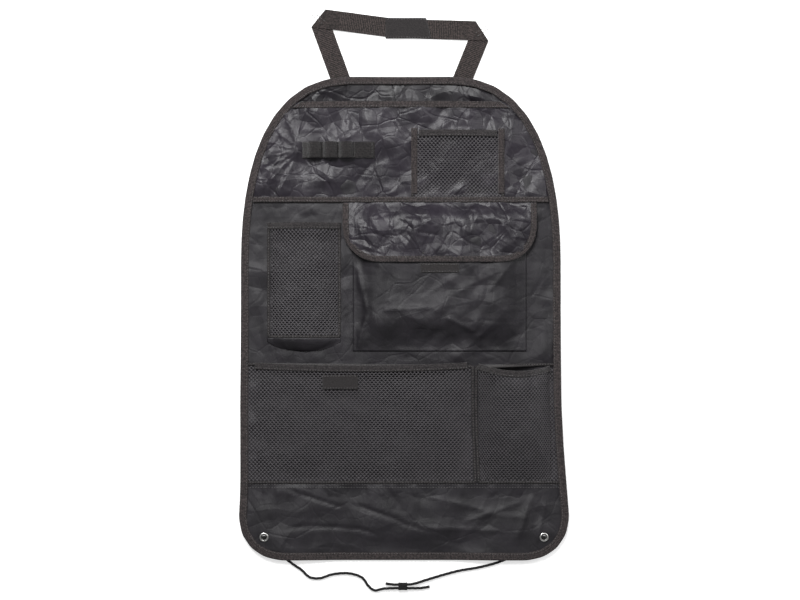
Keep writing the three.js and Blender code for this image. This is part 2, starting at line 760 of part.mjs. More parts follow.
// Phone pocket: a net over a crescent base that stands it off the panel
function phonePocket() {
  const low = MIDDLE_LOW + PHONE_BASE_DEPTH;
  netPocket('phone_pocket', {
    left: () => PHONE_LEFT,
    right: () => PHONE_RIGHT,
    low,
    mouth: () => MIDDLE_TOP,
    tiles: PHONE_TILES,
    sewn: { left: HEM, right: HEM, bottom: HEM },
    band: { left: 0, right: 0 },
    ground: layerBase,
    gape: PHONE_GAPE,
    rise: (v) => lerp(PHONE_BASE_GAPE / PHONE_GAPE, 1, v),
  });
  const rows = 3;
  const steps = 12;
  const seam = low - GAP;
  const depthAt = (x) => PHONE_BASE_DEPTH * lerp(0.3, 1, arch((x - PHONE_LEFT) / PHONE_WIDTH));
  const crescent = (i, j) => {
    const x = lerp(PHONE_LEFT, PHONE_RIGHT, j / steps);
    return [x, lerp(seam - depthAt(x) + GAP, seam, i / rows)];
  };
  const base = (x, h) => {
    const up = clamp(1 - (seam - h) / (depthAt(x) - GAP), 0, 1);
    const across = arch((x - PHONE_LEFT - HEM) / (PHONE_WIDTH - 2 * HEM));
    return layerBase(x, h) + across * PHONE_BASE_GAPE * Math.sin((Math.PI / 2) * up);
  };
  addPiece('phone_pocket_base', sheet(gridPlan(rows, steps, crescent), base, LAYER_THICKNESS), nylon);
}

// Flap pocket
const BODY_LEFT = PHONE_RIGHT + FLAP_SPACE + FLAP_OVERHANG;
const BODY_RIGHT = innerEdgeAt(MIDDLE_LOW) - FLAP_RIGHT_INSET - FLAP_OVERHANG;
const BODY_TOP = DIVIDER_LOW - BODY_MOUTH_SPACE;

// Columns that follow the two side ramps closely and the plain middle loosely
function bodyStations() {
  const ramp = [0, HEM, ...[0.25, 0.5, 0.75, 1].map((t) => HEM + BODY_RAMP * t)];
  const middle = 4;
  const from = BODY_LEFT + HEM + BODY_RAMP;
  const to = BODY_RIGHT - HEM - BODY_RAMP;
  return [
    ...ramp.map((d) => BODY_LEFT + d),
    ...Array.from({ length: middle - 1 }, (_, j) => lerp(from, to, (j + 1) / middle)),
    ...ramp.map((d) => BODY_RIGHT - d).reverse(),
  ];
}

const bodyAcross = straightBetween(bodyStations(), (x) =>
  smoothstep(Math.min(x - BODY_LEFT, BODY_RIGHT - x), HEM, HEM + BODY_RAMP));

function bodyGape(x, h) {
  return BODY_GAPE * bodyAcross(x) * smoothstep(h - MIDDLE_LOW, HEM, HEM + SEAM_RAMP);
}

const bodyBase = (x, h) => layerBase(x, h) + bodyGape(x, h);
const bodyTop = (x, h) => bodyBase(x, h) + LAYER_THICKNESS;

function flapPocketBody() {
  const stations = bodyStations();
  const levels = [
    MIDDLE_LOW,
    ...[0, 0.25, 0.5, 0.75, 1].map((t) => MIDDLE_LOW + HEM + SEAM_RAMP * t),
    ...[0.33, 0.67, 1].map((t) => lerp(MIDDLE_LOW + HEM + SEAM_RAMP, BODY_TOP, t)),
  ];
  const plan = gridPlan(levels.length - 1, stations.length - 1, (i, j) => [stations[j], levels[i]]);
  addPiece('flap_pocket_body', sheet(plan, bodyBase, LAYER_THICKNESS), nylon);
}

const FLAP_LOW = DIVIDER_LOW - FLAP_DROP;
const FLAP_LEFT = BODY_LEFT - FLAP_OVERHANG;
const FLAP_RIGHT = BODY_RIGHT + FLAP_OVERHANG;
const FLAP_CORNER = FLAP_OVERHANG + HEM + BODY_RAMP;
const FLAP_CLEARANCE = LAYER_STEP + GAP;

// The flap leaves the panel under the divider, rides over the pocket's mouth and droops at its sides
function flapBase(x, h) {
  const off = 1 - smoothstep(h, BODY_TOP + GAP, DIVIDER_LOW - GAP);
  const beyond = Math.max(FLAP_LEFT + FLAP_CORNER - x, x - FLAP_RIGHT + FLAP_CORNER, 0);
  const gape = BODY_GAPE * (1 - FLAP_DROOP * (beyond / FLAP_CORNER));
  return layerBase(x, h) + BAND_STEP + off * (gape + FLAP_CLEARANCE);
}

function flapOutline() {
  const steps = 6;
  const arc = Array.from({ length: steps + 1 }, (_, k) => {
    const angle = (Math.PI / 2) * (k / steps);
    return [FLAP_CORNER * (1 - Math.sin(angle)), FLAP_CORNER * (1 - Math.cos(angle))];
  });
  const mouth = BODY_TOP + GAP;
  const rest = [0, 0.25, 0.5, 0.75, 1].map((t) => [0, lerp(mouth, DIVIDER_LOW - GAP, t) - FLAP_LOW]);
  const edge = [...arc, ...rest];
  return edge.map(([inset, rise]) => {
    const [left, right] = [FLAP_LEFT + inset, FLAP_RIGHT - inset];
    return { left, right, h: FLAP_LOW + rise };
  });
}

function flap() {
  const rows = flapOutline();
  const low = rows[0];
  const levels = [...rows, { left: FLAP_LEFT, right: FLAP_RIGHT, h: DIVIDER_MIDDLE - GAP }];
  const middle = 4;
  const inside = Array.from({ length: middle + 1 }, (_, j) => lerp(low.left, low.right, j / middle));
  const columns = [
    FLAP_LEFT,
    FLAP_LEFT + FLAP_TAPE_WIDTH,
    ...inside,
    FLAP_RIGHT - FLAP_TAPE_WIDTH,
    FLAP_RIGHT,
  ];
  const at = (i, j) => [clamp(columns[j], levels[i].left, levels[i].right), levels[i].h];
  const plan = gridPlan(levels.length - 1, columns.length - 1, at);
  addPiece('flap', sheet(plan, flapBase, LAYER_THICKNESS), nylon);
  const path = [
    ...rows.map((row) => new THREE.Vector2(row.left, row.h)).reverse(),
    ...inside.slice(1, -1).map((x) => new THREE.Vector2(x, low.h)),
    ...rows.map((row) => new THREE.Vector2(row.right, row.h)),
  ];
  const top = (x, h) => flapBase(x, h) + LAYER_THICKNESS;
  const inners = offsetPath(path, false, FLAP_TAPE_WIDTH);
  addPiece('flap_binding', foldedTape(path, false, inners, flapBase, top), tape);
}

function flapPatches() {
  const middle = (BODY_LEFT + BODY_RIGHT) / 2;
  const patch = (low, base, name) => {
    const at = (i, j) => [middle + PATCH_LENGTH * (j / 2 - 0.5), low + i * PATCH_WIDTH];
    addPiece(name, sheet(gridPlan(1, 2, at), base, PATCH_THICKNESS), hook);
  };
  const onBody = (x, h) => bodyTop(x, h) + GAP;
  const underFlap = (x, h) => flapBase(x, h) - GAP - PATCH_THICKNESS;
  patch(FLAP_LOW - PATCH_SPACE - PATCH_WIDTH, onBody, 'flap_pocket_hook_patch');
  patch(FLAP_LOW + FLAP_TAPE_WIDTH + PATCH_SPACE, underFlap, 'flap_loop_patch');
}

// Lower pockets: a wide net and a bottle net, sewn along one seam and caught in the rim
const SPLIT = innerEdgeAt(LOWER_TOP) - BOTTLE_WIDTH;

function lowerPocketTopAt(x) {
  const left = -edgeAt(LOWER_TOP);
  const dip = LARGE_BAND_DIP * arch((x - left) / (SPLIT - left), 2);
  return LOWER_TOP - dip;
}

const LOWER_NET = {
  low: SEAM_HEIGHT,
  ground: layerBase,
  rise: (v) => 1 - (1 - v) ** 2.3,
};
const CAUGHT = { hem: RIM_WIDTH + HEM, band: RIM_WIDTH + BAND_SETBACK };

function lowerPocket() {
  const { cover } = netPocket('lower_pocket', {
    ...LOWER_NET,
    left: (h) => -edgeAt(h),
    right: () => SPLIT - GAP,
    mouth: lowerPocketTopAt,
    tiles: LARGE_TILES,
    sewn: { left: CAUGHT.hem, right: HEM, bottom: HEM },
    band: { left: CAUGHT.band, right: BAND_SETBACK },
    gape: LARGE_GAPE,
  });
  const from = -edgeAt(LOWER_TOP) + TAB_INSET;
  const tabTop = LOWER_TOP - LARGE_BAND_DIP - TAB_DROP;
  const tab = (i, j) => [from + (TAB_LENGTH * j) / 3, tabTop - TAB_WIDTH * (1 - i / 2)];
  const above = (x, h) => cover(x, h) + 2 * GAP;
  addPiece('lower_pocket_hook_tab', sheet(gridPlan(2, 3, tab), above, PATCH_THICKNESS), hook);
}

function bottlePocketTopAt(x) {
  const right = edgeAt(LOWER_TOP);
  return LOWER_TOP - BOTTLE_BAND_DIP * arch((x - SPLIT) / (right - SPLIT), 2);
}

function bottlePocket() {
  netPocket('bottle_pocket', {
    ...LOWER_NET,
    left: () => SPLIT + GAP,
    right: edgeAt,
    mouth: bottlePocketTopAt,
    tiles: BOTTLE_TILES,
    sewn: { left: HEM, right: CAUGHT.hem, bottom: HEM },
    band: { left: BAND_SETBACK, right: CAUGHT.band },
    gape: BOTTLE_GAPE,
    ripple: BOTTLE_GATHER_HEIGHT,
  });
}

// One run of flat webbing between two pairs of corners, as a sheet on level(t)
function webbingRun(from, to, steps, level) {
  const points = [];
  for (let i = 0; i <= steps; i += 1) {
    const t = i / steps;
    const [a, b] = [from[0].clone().lerp(to[0], t), from[1].clone().lerp(to[1], t)];
    for (const corner of [a, b]) {
      points.push(place(corner.x, corner.y, level(t)));
      points.push(place(corner.x, corner.y, level(t) + STRAP_THICKNESS));
    }
  }
  const faces = [[0, 1, 3], [0, 3, 2]];
  for (let i = 0; i < steps; i += 1) {
    const a = i * 4;
    const ring = [[0, 1], [1, 3], [3, 2], [2, 0]];
    ring.forEach(([p, q]) => faces.push([a + p, a + p + 4, a + q + 4], [a + p, a + q + 4, a + q]));
  }
  const last = steps * 4;
  faces.push([last, last + 3, last + 1], [last, last + 2, last + 3]);
  return geometryOf(points, faces);
}

// Webbing sewn behind the panel, folded to a mitre and led to the closure
function mitredStrap(name, baseX, foldAt, endAt) {
  const base = new THREE.Vector2(baseX, PANEL_HEIGHT);
  const fold = new THREE.Vector2(foldAt[0], PANEL_HEIGHT + foldAt[1]);
  const end = new THREE.Vector2(endAt[0], PANEL_HEIGHT + endAt[1]);
  const up = fold.clone().sub(base).normalize();
  const along = end.clone().sub(fold).normalize();
  const crease = up.clone().add(along).normalize();
  const reach = crease.clone().multiplyScalar(STRAP_WIDTH / 2 / Math.abs(up.cross(crease)));
  const creaseEnds = [fold.clone().add(reach), fold.clone().sub(reach)];
  const sides = (at, direction) => {
    const side = new THREE.Vector2(-direction.y, direction.x).multiplyScalar(STRAP_WIDTH / 2);
    const pair = [at.clone().add(side), at.clone().sub(side)];
    const turned = side.dot(reach) < 0;
    return turned ? pair.reverse() : pair;
  };
  const tucked = base.clone().addScaledVector(up, -STRAP_TUCK);
  const leg = webbingRun(sides(tucked, up), creaseEnds, 1, () => 0);
  const clear = STRAP_WIDTH / fold.distanceTo(end);
  const runLevel = (t) => STRAP_THICKNESS * 0.95 * (1 - smoothstep(t, clear * 1.2, clear * 2.6));
  const run = webbingRun(creaseEnds, sides(end, along), 9, runLevel);
  addPiece(name, fromSolid(toSolid(leg).add(toSolid(run))), webbing);
}

function headrestStrap() {
  const [x, rise] = CLOSURE_PLACE;
  const leftEnd = [x - CLOSURE_LENGTH / 2 + CLOSURE_SEWN, rise];
  const rightEnd = [leftEnd[0] + STRAP_END_SPACE, rise];
  mitredStrap('strap_left', -LEFT_STRAP_BASE, LEFT_FOLD, leftEnd);
  mitredStrap('strap_right', RIGHT_STRAP_BASE, RIGHT_FOLD, rightEnd);
  const columns = 4;
  const at = (i, j) => {
    const slant = j === columns ? CLOSURE_SLANT * (0.5 - i) : 0;
    const h = PANEL_HEIGHT + rise + CLOSURE_WIDTH * (i - 0.5);
    return [x + CLOSURE_LENGTH * (j / columns - 0.5) + slant, h];
  };
  const base = () => STRAP_THICKNESS + GAP;
  addPiece('strap_closure_band', sheet(gridPlan(1, columns, at), base, TAPE_THICKNESS * 2), hook);
}

function turned(profile, segments) {
  const points = profile.map(([r, z]) => new THREE.Vector2(r, z));
  const geometry = new THREE.LatheGeometry([...points, points[0].clone()], segments);
  geometry.rotateX(Math.PI / 2);
  return geometry;
}

// Eyelet, its back washer and the cord's knot, one set in each bottom corner
function eyelets() {
  const segments = 12;
  const barrel = EYELET_BORE + BARREL_WALL;
  for (const [side, x] of [['left', -EYELET_X], ['right', EYELET_X]]) {
    const under = Math.min(...[-1, 0, 1].map((k) => panelBase(x + k * EYELET_RADIUS, EYELET_HEIGHT)));
    const over = Math.max(...[-1, 0, 1].flatMap((k) => [-1, 0, 1].map((m) =>
      panelTop(x + k * EYELET_RADIUS, EYELET_HEIGHT + m * EYELET_RADIUS)))) + GAP;
    const low = under - WASHER_DROP;
    const shell = [
      [EYELET_BORE, low],
      [barrel, low],
      [barrel, over],
      [EYELET_RADIUS, over],
      [EYELET_RADIUS - 0.3, over + FLANGE_RISE * 0.6],
      [(EYELET_RADIUS + barrel) / 2, over + FLANGE_RISE],
      [barrel, over + FLANGE_RISE * 0.85],
      [EYELET_BORE, over + FLANGE_RISE * 0.3],
    ];
    const at = [x + lean(EYELET_HEIGHT), EYELET_HEIGHT, 0];
    addPiece(`eyelet_${side}`, turned(shell, segments).translate(...at), nickel);
    const hole = barrel + GAP;
    const ring = [
      [hole, under - GAP - WASHER_THICKNESS],
      [EYELET_RADIUS, under - GAP - WASHER_THICKNESS],
      [EYELET_RADIUS, under - GAP],
      [hole, under - GAP],
    ];
    addPiece(`eyelet_washer_${side}`, turned(ring, segments).translate(...at), nickel);
    const seat = over + FLANGE_RISE + GAP;
    const knot = [
      [0, low],
      [CORD_RADIUS, low],
      [CORD_RADIUS, seat],
      [KNOT_RADIUS * 0.8, seat],
      [KNOT_RADIUS, seat + KNOT_HEIGHT * 0.4],
      [KNOT_RADIUS * 0.7, seat + KNOT_HEIGHT * 0.85],
      [0, seat + KNOT_HEIGHT],
    ];
    addPiece(`cord_knot_${side}`, turned(knot, 10).translate(...at), elastic);
  }
}

function cord(name, route, steps) {
  const path = new THREE.CatmullRomCurve3(route.map(([x, h, z]) => new THREE.Vector3(...place(x, h, z))));
  const section = new THREE.Shape().absarc(0, 0, CORD_RADIUS, 0, 2 * Math.PI);
  const geometry = new THREE.ExtrudeGeometry(section, { steps, extrudePath: path, curveSegments: 4 });
  addPiece(name, geometry, elastic);
}

// A flat sleeve pressed round both cords
function cordSleeve() {
  const left = LEFT_CORD[14];
  const right = RIGHT_CORD[9];
  const spread = Math.abs(right[1] - left[1]) / 2;
  const stadium = (radius) => {
    const outline = new THREE.Shape();
    outline.absarc(spread, 0, radius, -Math.PI / 2, Math.PI / 2);
    outline.absarc(-spread, 0, radius, Math.PI / 2, (3 * Math.PI) / 2);
    return outline;
  };
  const inside = CORD_RADIUS + SLEEVE_SLACK / 2;
  const outline = stadium(inside + SLEEVE_WALL);
  outline.holes.push(stadium(inside));
  const depth = SLEEVE_LENGTH;
  const geometry = new THREE.ExtrudeGeometry(outline, { depth, bevelEnabled: false, curveSegments: 6 });
  geometry.translate(0, 0, -depth / 2);
  geometry.rotateY(Math.PI / 2);
  geometry.rotateX(Math.PI / 2);
  geometry.translate(...place((left[0] + LEFT_CORD[15][0]) / 2, (left[1] + right[1]) / 2, left[2]));
  addPiece('cord_sleeve', geometry, elastic);
}

// Stands the part on the floor, with the middle of its outline at the origin, cords left out
function centre() {
  const box = new THREE.Box3();
  organizer.children.filter((mesh) => !mesh.name.includes('cord')).forEach((mesh) => {
    box.expandByObject(mesh);
  });
  const middle = box.getCenter(new THREE.Vector3());
  organizer.position.set(-middle.x, -middle.y, -box.min.z);
  organizer.updateMatrixWorld(true);
}

backPanel();
edgeBinding();
upperPocket();
dividerBinding();
penLoops();
cardPocket();
phonePocket();
flapPocketBody();
flap();
flapPatches();
lowerPocket();
bottlePocket();
headrestStrap();
eyelets();
cord('elastic_cord_left', LEFT_CORD, 44);
cord('elastic_cord_right', RIGHT_CORD, 34);
cordSleeve();
centre();

export default organizer;
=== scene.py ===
# Looks of a car seat back organizer that lies flat on its back. Every cloth, tape and net follows the
# surface of the CAD node that it stands for. The cords' routes and the strap's middle lines repeat
# the CAD's own. Metres, unless a comment says millimetres.

import math
import random

import bpy
import numpy as np
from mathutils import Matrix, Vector, noise
from mathutils.bvhtree import BVHTree
from mathutils.geometry import delaunay_2d_cdt


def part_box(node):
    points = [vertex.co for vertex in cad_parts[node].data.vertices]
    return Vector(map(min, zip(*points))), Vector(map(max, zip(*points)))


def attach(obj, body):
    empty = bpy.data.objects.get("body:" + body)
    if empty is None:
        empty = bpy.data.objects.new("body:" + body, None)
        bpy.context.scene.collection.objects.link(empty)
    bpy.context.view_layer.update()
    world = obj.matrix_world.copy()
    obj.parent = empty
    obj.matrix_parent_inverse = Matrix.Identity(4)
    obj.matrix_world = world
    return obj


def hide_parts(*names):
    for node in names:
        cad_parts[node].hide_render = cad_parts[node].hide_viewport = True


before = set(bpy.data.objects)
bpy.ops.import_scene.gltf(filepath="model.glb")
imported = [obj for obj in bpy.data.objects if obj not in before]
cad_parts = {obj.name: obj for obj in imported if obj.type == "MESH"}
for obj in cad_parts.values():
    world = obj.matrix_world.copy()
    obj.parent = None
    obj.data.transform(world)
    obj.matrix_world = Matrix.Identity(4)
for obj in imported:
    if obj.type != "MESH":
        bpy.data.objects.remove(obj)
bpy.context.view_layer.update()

BODY = "root"
MM = 0.001
SIDES = ("left", "right")

# The photograph: looked at from straight above, 800 by 600 pixels
PHOTO_WIDTH = 1.0
PHOTO_CENTRE = (-0.005, -0.019)
CAMERA_HEIGHT = 2.4
CAMERA_REACH = 20
SENSOR = 36.0


def placed(name, data):
    """A new object in the scene."""
    made = bpy.data.objects.new(name, data)
    bpy.context.scene.collection.objects.link(made)
    return made


def camera():
    """Straight above the floor, with the picture's width and centre set on it."""
    data = bpy.data.cameras.new("camera")
    data.sensor_width = SENSOR
    data.lens = SENSOR * CAMERA_HEIGHT / PHOTO_WIDTH
    data.clip_end = CAMERA_REACH
    eye = placed("camera", data)
    eye.location = (*PHOTO_CENTRE, CAMERA_HEIGHT)
    bpy.context.scene.camera = eye


# Materials

# The attribute that says how far along and across its tape a point is
WEAVE = "weave"

# Radians that a wave texture turns in a metre at scale 1
WAVE_RATE = 20

# Where a colour ramp starts and ends
RAMP = (0.3, 0.7)

# Folds in the nylon's film: pitch and heading of each set, steepness of their sides, and their bends
FOLDS = ((75 * MM, 0.5), (52 * MM, 1.6), (31 * MM, 2.6))
FOLD_SLOPE = 0.09
FOLD_BEND = 7.0
FOLD_DETAIL = 2.0
FOLD_DETAIL_SCALE = 1.3

# Thin creases in the film: distance between them, width and depth, and how finely they are bent
CREASES = ((46 * MM, 2.2 * MM, 0.45 * MM), (21 * MM, 1.7 * MM, 0.22 * MM))
CREASE_BEND = 0.6

# The nylon's darkest and lightest colour, its weave, and over which height it goes from calm to glossy
NYLON_TONES = ((0.012, 0.0101, 0.0142), (0.034, 0.0282, 0.0385))
NYLON_WEAVE = 1.5 * MM
GLOSS_FADE = 30 * MM

# Calm nylon: its painted shade, how much rougher it is, how steep its folds are, and the depth of its
# creases
CALM_PAINTED_SHADE = 0.5
CALM_ROUGHNESS = 0.12
CALM_SLOPE = 0.04
CALM_CREASES = 0.4

# Heights up the organizer that nylon is calm below
ALL_GLOSSY = -1.0
ALL_CALM = 1.0
TOP_STRIP = 0.2


class Shading:
    """The nodes of a material or a world, with short ways to add to them."""

    def __init__(self, owner, main):
        owner.use_nodes = True
        self.owner = owner
        self.nodes = owner.node_tree.nodes
        self.links = owner.node_tree.links
        self.main = self.nodes[main]

    def fill(self, node, inputs):
        """Gives a node's inputs their values, or links them to other nodes."""
        for name, value in inputs.items():
            if isinstance(value, bpy.types.NodeSocket):
                self.links.new(value, node.inputs[name])
            else:
                node.inputs[name].default_value = value
        return node

    def add(self, kind, inputs, operation=None):
        """A new node with its inputs filled."""
        node = self.nodes.new(kind)
        if operation:
            node.operation = operation
        return self.fill(node, inputs)

    def plus(self, a, b):
        return self.add("ShaderNodeMath", {0: a, 1: b}, "ADD").outputs[0]

    def times(self, a, b):
        return self.add("ShaderNodeMath", {0: a, 1: b}, "MULTIPLY").outputs[0]

    def larger(self, a, b):
        return self.add("ShaderNodeMath", {0: a, 1: b}, "MAXIMUM").outputs[0]

    def ranged(self, value, low, high, start=0.0, end=1.0):
        """A value that goes from start to end, spread from low to high."""
        spread = {"Value": value, "From Min": start, "From Max": end, "To Min": low, "To Max": high}
        return self.add("ShaderNodeMapRange", spread).outputs["Result"]

    def place(self, turn=0.0):
        """Object coordinates, turned about the vertical."""
        own = self.nodes.new("ShaderNodeTexCoord").outputs["Object"]
        return self.add("ShaderNodeMapping", {"Vector": own, "Rotation": (0, 0, turn)}).outputs["Vector"]

    def wave(self, vector, pitch, direction="X"):
        """Ribs of one pitch."""
        scale = 2 * math.pi / (WAVE_RATE * pitch)
        ribs = self.add("ShaderNodeTexWave", {"Vector": vector, "Scale": scale})
        ribs.wave_type = "BANDS"
        ribs.bands_direction = direction
        return ribs.outputs["Fac"]

    def clouds(self, vector, size, detail):
        """Noise with patches of about that size."""
        patches = {"Vector": vector, "Scale": 1 / size, "Detail": detail}
        return self.add("ShaderNodeTexNoise", patches).outputs["Fac"]

    def folds(self, pitch, turn):
        """Bent folds with sharp crests and flat sides, as their height at a slope of 1."""
        ribs = self.wave(self.place(turn), pitch)
        bends = {"Distortion": FOLD_BEND, "Detail": FOLD_DETAIL, "Detail Scale": FOLD_DETAIL_SCALE}
        self.fill(ribs.node, bends).wave_profile = "TRI"
        return self.times(ribs, pitch / 2)

    def crease_lines(self, vector, size, width):
        """Thin lines that meet in corners about that far apart: 0 on a line, 1 off it."""
        warp = self.add("ShaderNodeTexNoise", {"Vector": vector, "Scale": CREASE_BEND / size})
        bent = {0: warp.outputs["Color"], 1: (size, size, 0), 2: vector}
        bent = self.add("ShaderNodeVectorMath", bent, "MULTIPLY_ADD").outputs["Vector"]
        cells = self.add("ShaderNodeTexVoronoi", {"Vector": bent, "Scale": 1 / size})
        cells.feature = "DISTANCE_TO_EDGE"
        return self.ranged(cells.outputs["Distance"], 0.0, 1.0, end=width / size)

    def finish(self, tone, dark, light, height, depth):
        """The material, with colours from dark to light and bumps of that depth."""
        ramp = self.add("ShaderNodeValToRGB", {"Fac": tone})
        for element, position, colour in zip(ramp.color_ramp.elements, RAMP, (dark, light)):
            element.position = position
            element.color = (*colour, 1)
        bumps = self.add("ShaderNodeBump", {"Height": height, "Distance": depth, "Strength": 1.0})
        self.fill(self.main, {"Base Color": ramp.outputs["Color"], "Normal": bumps.outputs["Normal"]})
        return self.owner


def principled(name, colour, roughness, sheen=0.0, metallic=0.0):
    """The shading of a new material."""
    shading = Shading(bpy.data.materials.new(name), "Principled BSDF")
    plain = {"Base Color": (*colour, 1), "Roughness": roughness, "Metallic": metallic}
    shading.fill(shading.main, {**plain, "Sheen Weight": sheen})
    return shading


def nylon(name, calm_below, shade=1.0):
    """Coated nylon: a fine plain weave under a film with folds, glossier above a height of the organizer
    and calmer below it. shade dims its colours: it is painted shade."""
    shading = principled(name, (0.02, 0.018, 0.021), roughness=0.34)
    vector = shading.place()
    weave = shading.times(shading.wave(vector, NYLON_WEAVE), shading.wave(vector, NYLON_WEAVE, "Y"))
    patches = shading.clouds(vector, size=30 * MM, detail=4)
    tone = shading.plus(shading.times(patches, 0.75), shading.times(weave, 0.4))
    height = shading.add("ShaderNodeSeparateXYZ", {"Vector": vector}).outputs["Y"]
    gloss = shading.ranged(height, 0.0, 1.0, start=calm_below, end=calm_below + GLOSS_FADE)
    rough = shading.ranged(shading.clouds(vector, size=14 * MM, detail=4), low=0.33, high=0.54)
    rough = shading.plus(rough, shading.ranged(gloss, CALM_ROUGHNESS, 0.0))
    shading.fill(shading.main, {"Roughness": rough})
    film = 0.0
    for pitch, turn in FOLDS:
        film = shading.plus(film, shading.folds(pitch, turn))
    patchy = shading.ranged(shading.clouds(vector, size=70 * MM, detail=1), low=-0.9, high=2.6)
    film = shading.times(shading.times(film, patchy), shading.ranged(gloss, CALM_SLOPE, FOLD_SLOPE))
    for size, width, depth in CREASES:
        lines = shading.times(shading.crease_lines(vector, size, width), depth)
        film = shading.plus(film, shading.times(lines, shading.ranged(gloss, CALM_CREASES, 1.0)))
    grain = shading.times(weave, 0.1 * MM)
    # Painted shade: shade dims the colours of the calm copies of this nylon, so they render darker than the
    # glossy nylon
    dark, light = ([shade * part for part in colour] for colour in NYLON_TONES)
    return shading.finish(tone, dark, light, shading.plus(grain, film), depth=1.0)


def ribbed(name, dark, light, pitch, sheen=0.15):
    """Woven tape or webbing with ribs across its length."""
    shading = principled(name, dark, 0.85, sheen)
    lay = shading.nodes.new("ShaderNodeAttribute")
    lay.attribute_name = WEAVE
    ribs = shading.wave(lay.outputs["Vector"], pitch)
    cross = shading.ranged(shading.wave(lay.outputs["Vector"], 1.9 * pitch, "Y"), low=0.7, high=1)
    fuzz = shading.ranged(shading.clouds(shading.place(), size=1.9 * MM, detail=4), low=-0.9, high=1.9)
    total = shading.plus(shading.times(ribs, cross), fuzz)
    return shading.finish(shading.times(total, 0.5), dark, light, total, depth=0.4 * MM)


def threads():
    """Knitted net yarn."""
    shading = principled("net", (0.05, 0.046, 0.051), roughness=0.6, sheen=0.1)
    fuzz = shading.clouds(shading.place(), size=0.7 * MM, detail=3)
    return shading.finish(fuzz, (0.034, 0.0315, 0.035), (0.112, 0.103, 0.112), fuzz, depth=0.2 * MM)


def pile():
    """Hook-and-loop: short dense pile."""
    shading = principled("hook", (0.008, 0.008, 0.008), roughness=0.95, sheen=0.25)
    grain = shading.clouds(shading.place(), size=0.8 * MM, detail=5)
    return shading.finish(grain, (0.008, 0.007, 0.007), (0.036, 0.031, 0.032), grain, depth=0.6 * MM)


def metal():
    """Polished nickel plate with faint scuffs."""
    shading = principled("nickel", (0.86, 0.85, 0.83), roughness=0.3, metallic=1.0)
    scuffs = shading.clouds(shading.place(), size=1.5 * MM, detail=4)
    bumps = shading.add("ShaderNodeBump", {"Height": scuffs, "Distance": 0.02 * MM, "Strength": 1.0})
    rough = shading.ranged(scuffs, low=0.2, high=0.46)
    shading.fill(shading.main, {"Roughness": rough, "Normal": bumps.outputs["Normal"]})
    return shading.owner


def yarn():
    """Sewing thread, a little lighter than the cloth."""
    shading = principled("thread", (0.03, 0.028, 0.028), roughness=0.6, sheen=0.2)
    twist = shading.wave(shading.place(), 0.5 * MM, "DIAGONAL")
    return shading.finish(twist, (0.03, 0.027, 0.027), (0.085, 0.077, 0.076), twist, depth=0.05 * MM)


LOOKS = {
    "nylon": nylon("nylon", ALL_GLOSSY),
    # The calm and panel copies are the same nylon, with painted shade that dims their colours
    "calm painted-shade nylon": nylon("calm painted-shade nylon", ALL_CALM, CALM_PAINTED_SHADE),
    "panel painted-shade nylon": nylon("panel painted-shade nylon", TOP_STRIP, CALM_PAINTED_SHADE),
    "tape": ribbed("tape", (0.008, 0.0062, 0.0064), (0.072, 0.056, 0.056), 1.7 * MM),
    "elastic": ribbed("elastic", (0.006, 0.0052, 0.0056), (0.052, 0.044, 0.046), 1.5 * MM),
    "dark elastic": ribbed("dark elastic", (0.004, 0.0035, 0.0037), (0.028, 0.023, 0.0235), 1.5 * MM),
    "cord": ribbed("cord", (0.004, 0.0038, 0.0042), (0.012, 0.011, 0.012), 1.3 * MM, 0.05),
    "webbing": ribbed("webbing", (0.006, 0.0046, 0.0044), (0.064, 0.048, 0.045), 2.2 * MM, 0.1),
    "net": threads(),
    "hook": pile(),
    "nickel": metal(),
    "thread": yarn(),
}


# Reading the frame

# Evenly spaced lines across a sheet start and end this far inside it
EDGE_MARGIN = 0.01 * MM


def cad_mesh(node):
    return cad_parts[node].data


def centre_of(node):
    low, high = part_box(node)
    return (low + high) / 2


def corners_of(mesh):
    """The vertices of a mesh, as rows of x, y and z."""
    found = np.zeros(len(mesh.vertices) * 3)
    mesh.vertices.foreach_get("co", found)
    return found.reshape(-1, 3)


class Surface:
    """Upper and lower side of a mesh: z for any x and y. The gaps of a net are filled."""

    # Points are told apart by their place on this many steps to the metre
    GRAIN = 1e5
    MERGE = 1e-7
    # Beside the sheet, the nearest place is looked for from this height, so often, and a little inside
    FIRST_HEIGHT = 5 * MM
    TRIES = 3
    INSIDE = 1.02

    def __init__(self, mesh, net=False):
        if net:
            self.tree = self.filled(mesh)
        else:
            faces = [face.vertices for face in mesh.polygons]
            self.tree = BVHTree.FromPolygons([corner.co for corner in mesh.vertices], faces)

    def filled(self, mesh):
        highest = {}
        for x, y, z in corners_of(mesh):
            key = (round(x * self.GRAIN), round(y * self.GRAIN))
            highest[key] = max(highest.get(key, -1), z)
        flat = [Vector((x / self.GRAIN, y / self.GRAIN)) for x, y in highest]
        heights = list(highest.values())
        places, _, faces, origins, _, _ = delaunay_2d_cdt(flat, [], [], 0, self.MERGE)
        points = [Vector((p.x, p.y, heights[origins[i][0]])) for i, p in enumerate(places)]
        return BVHTree.FromPolygons(points, faces)

    def side(self, x, y, up):
        """Height of the side that is met from 1 m above, or from 1 m below where up is -1."""
        hit = self.tree.ray_cast(Vector((x, y, up)), Vector((0, 0, -up)))[0]
        if hit is None:
            hit = Vector((x, y, self.FIRST_HEIGHT))
            for _ in range(self.TRIES):
                hit = self.tree.find_nearest(Vector((x, y, hit.z)))[0]
            beside = Vector((x, y, 0)).lerp(Vector((hit.x, hit.y, 0)), self.INSIDE)
            again = self.tree.ray_cast(beside + Vector((0, 0, up)), Vector((0, 0, -up)))[0]
            hit = again or hit
        return hit.z

    def top(self, x, y):
        return self.side(x, y, 1)

    def bottom(self, x, y):
        return self.side(x, y, -1)


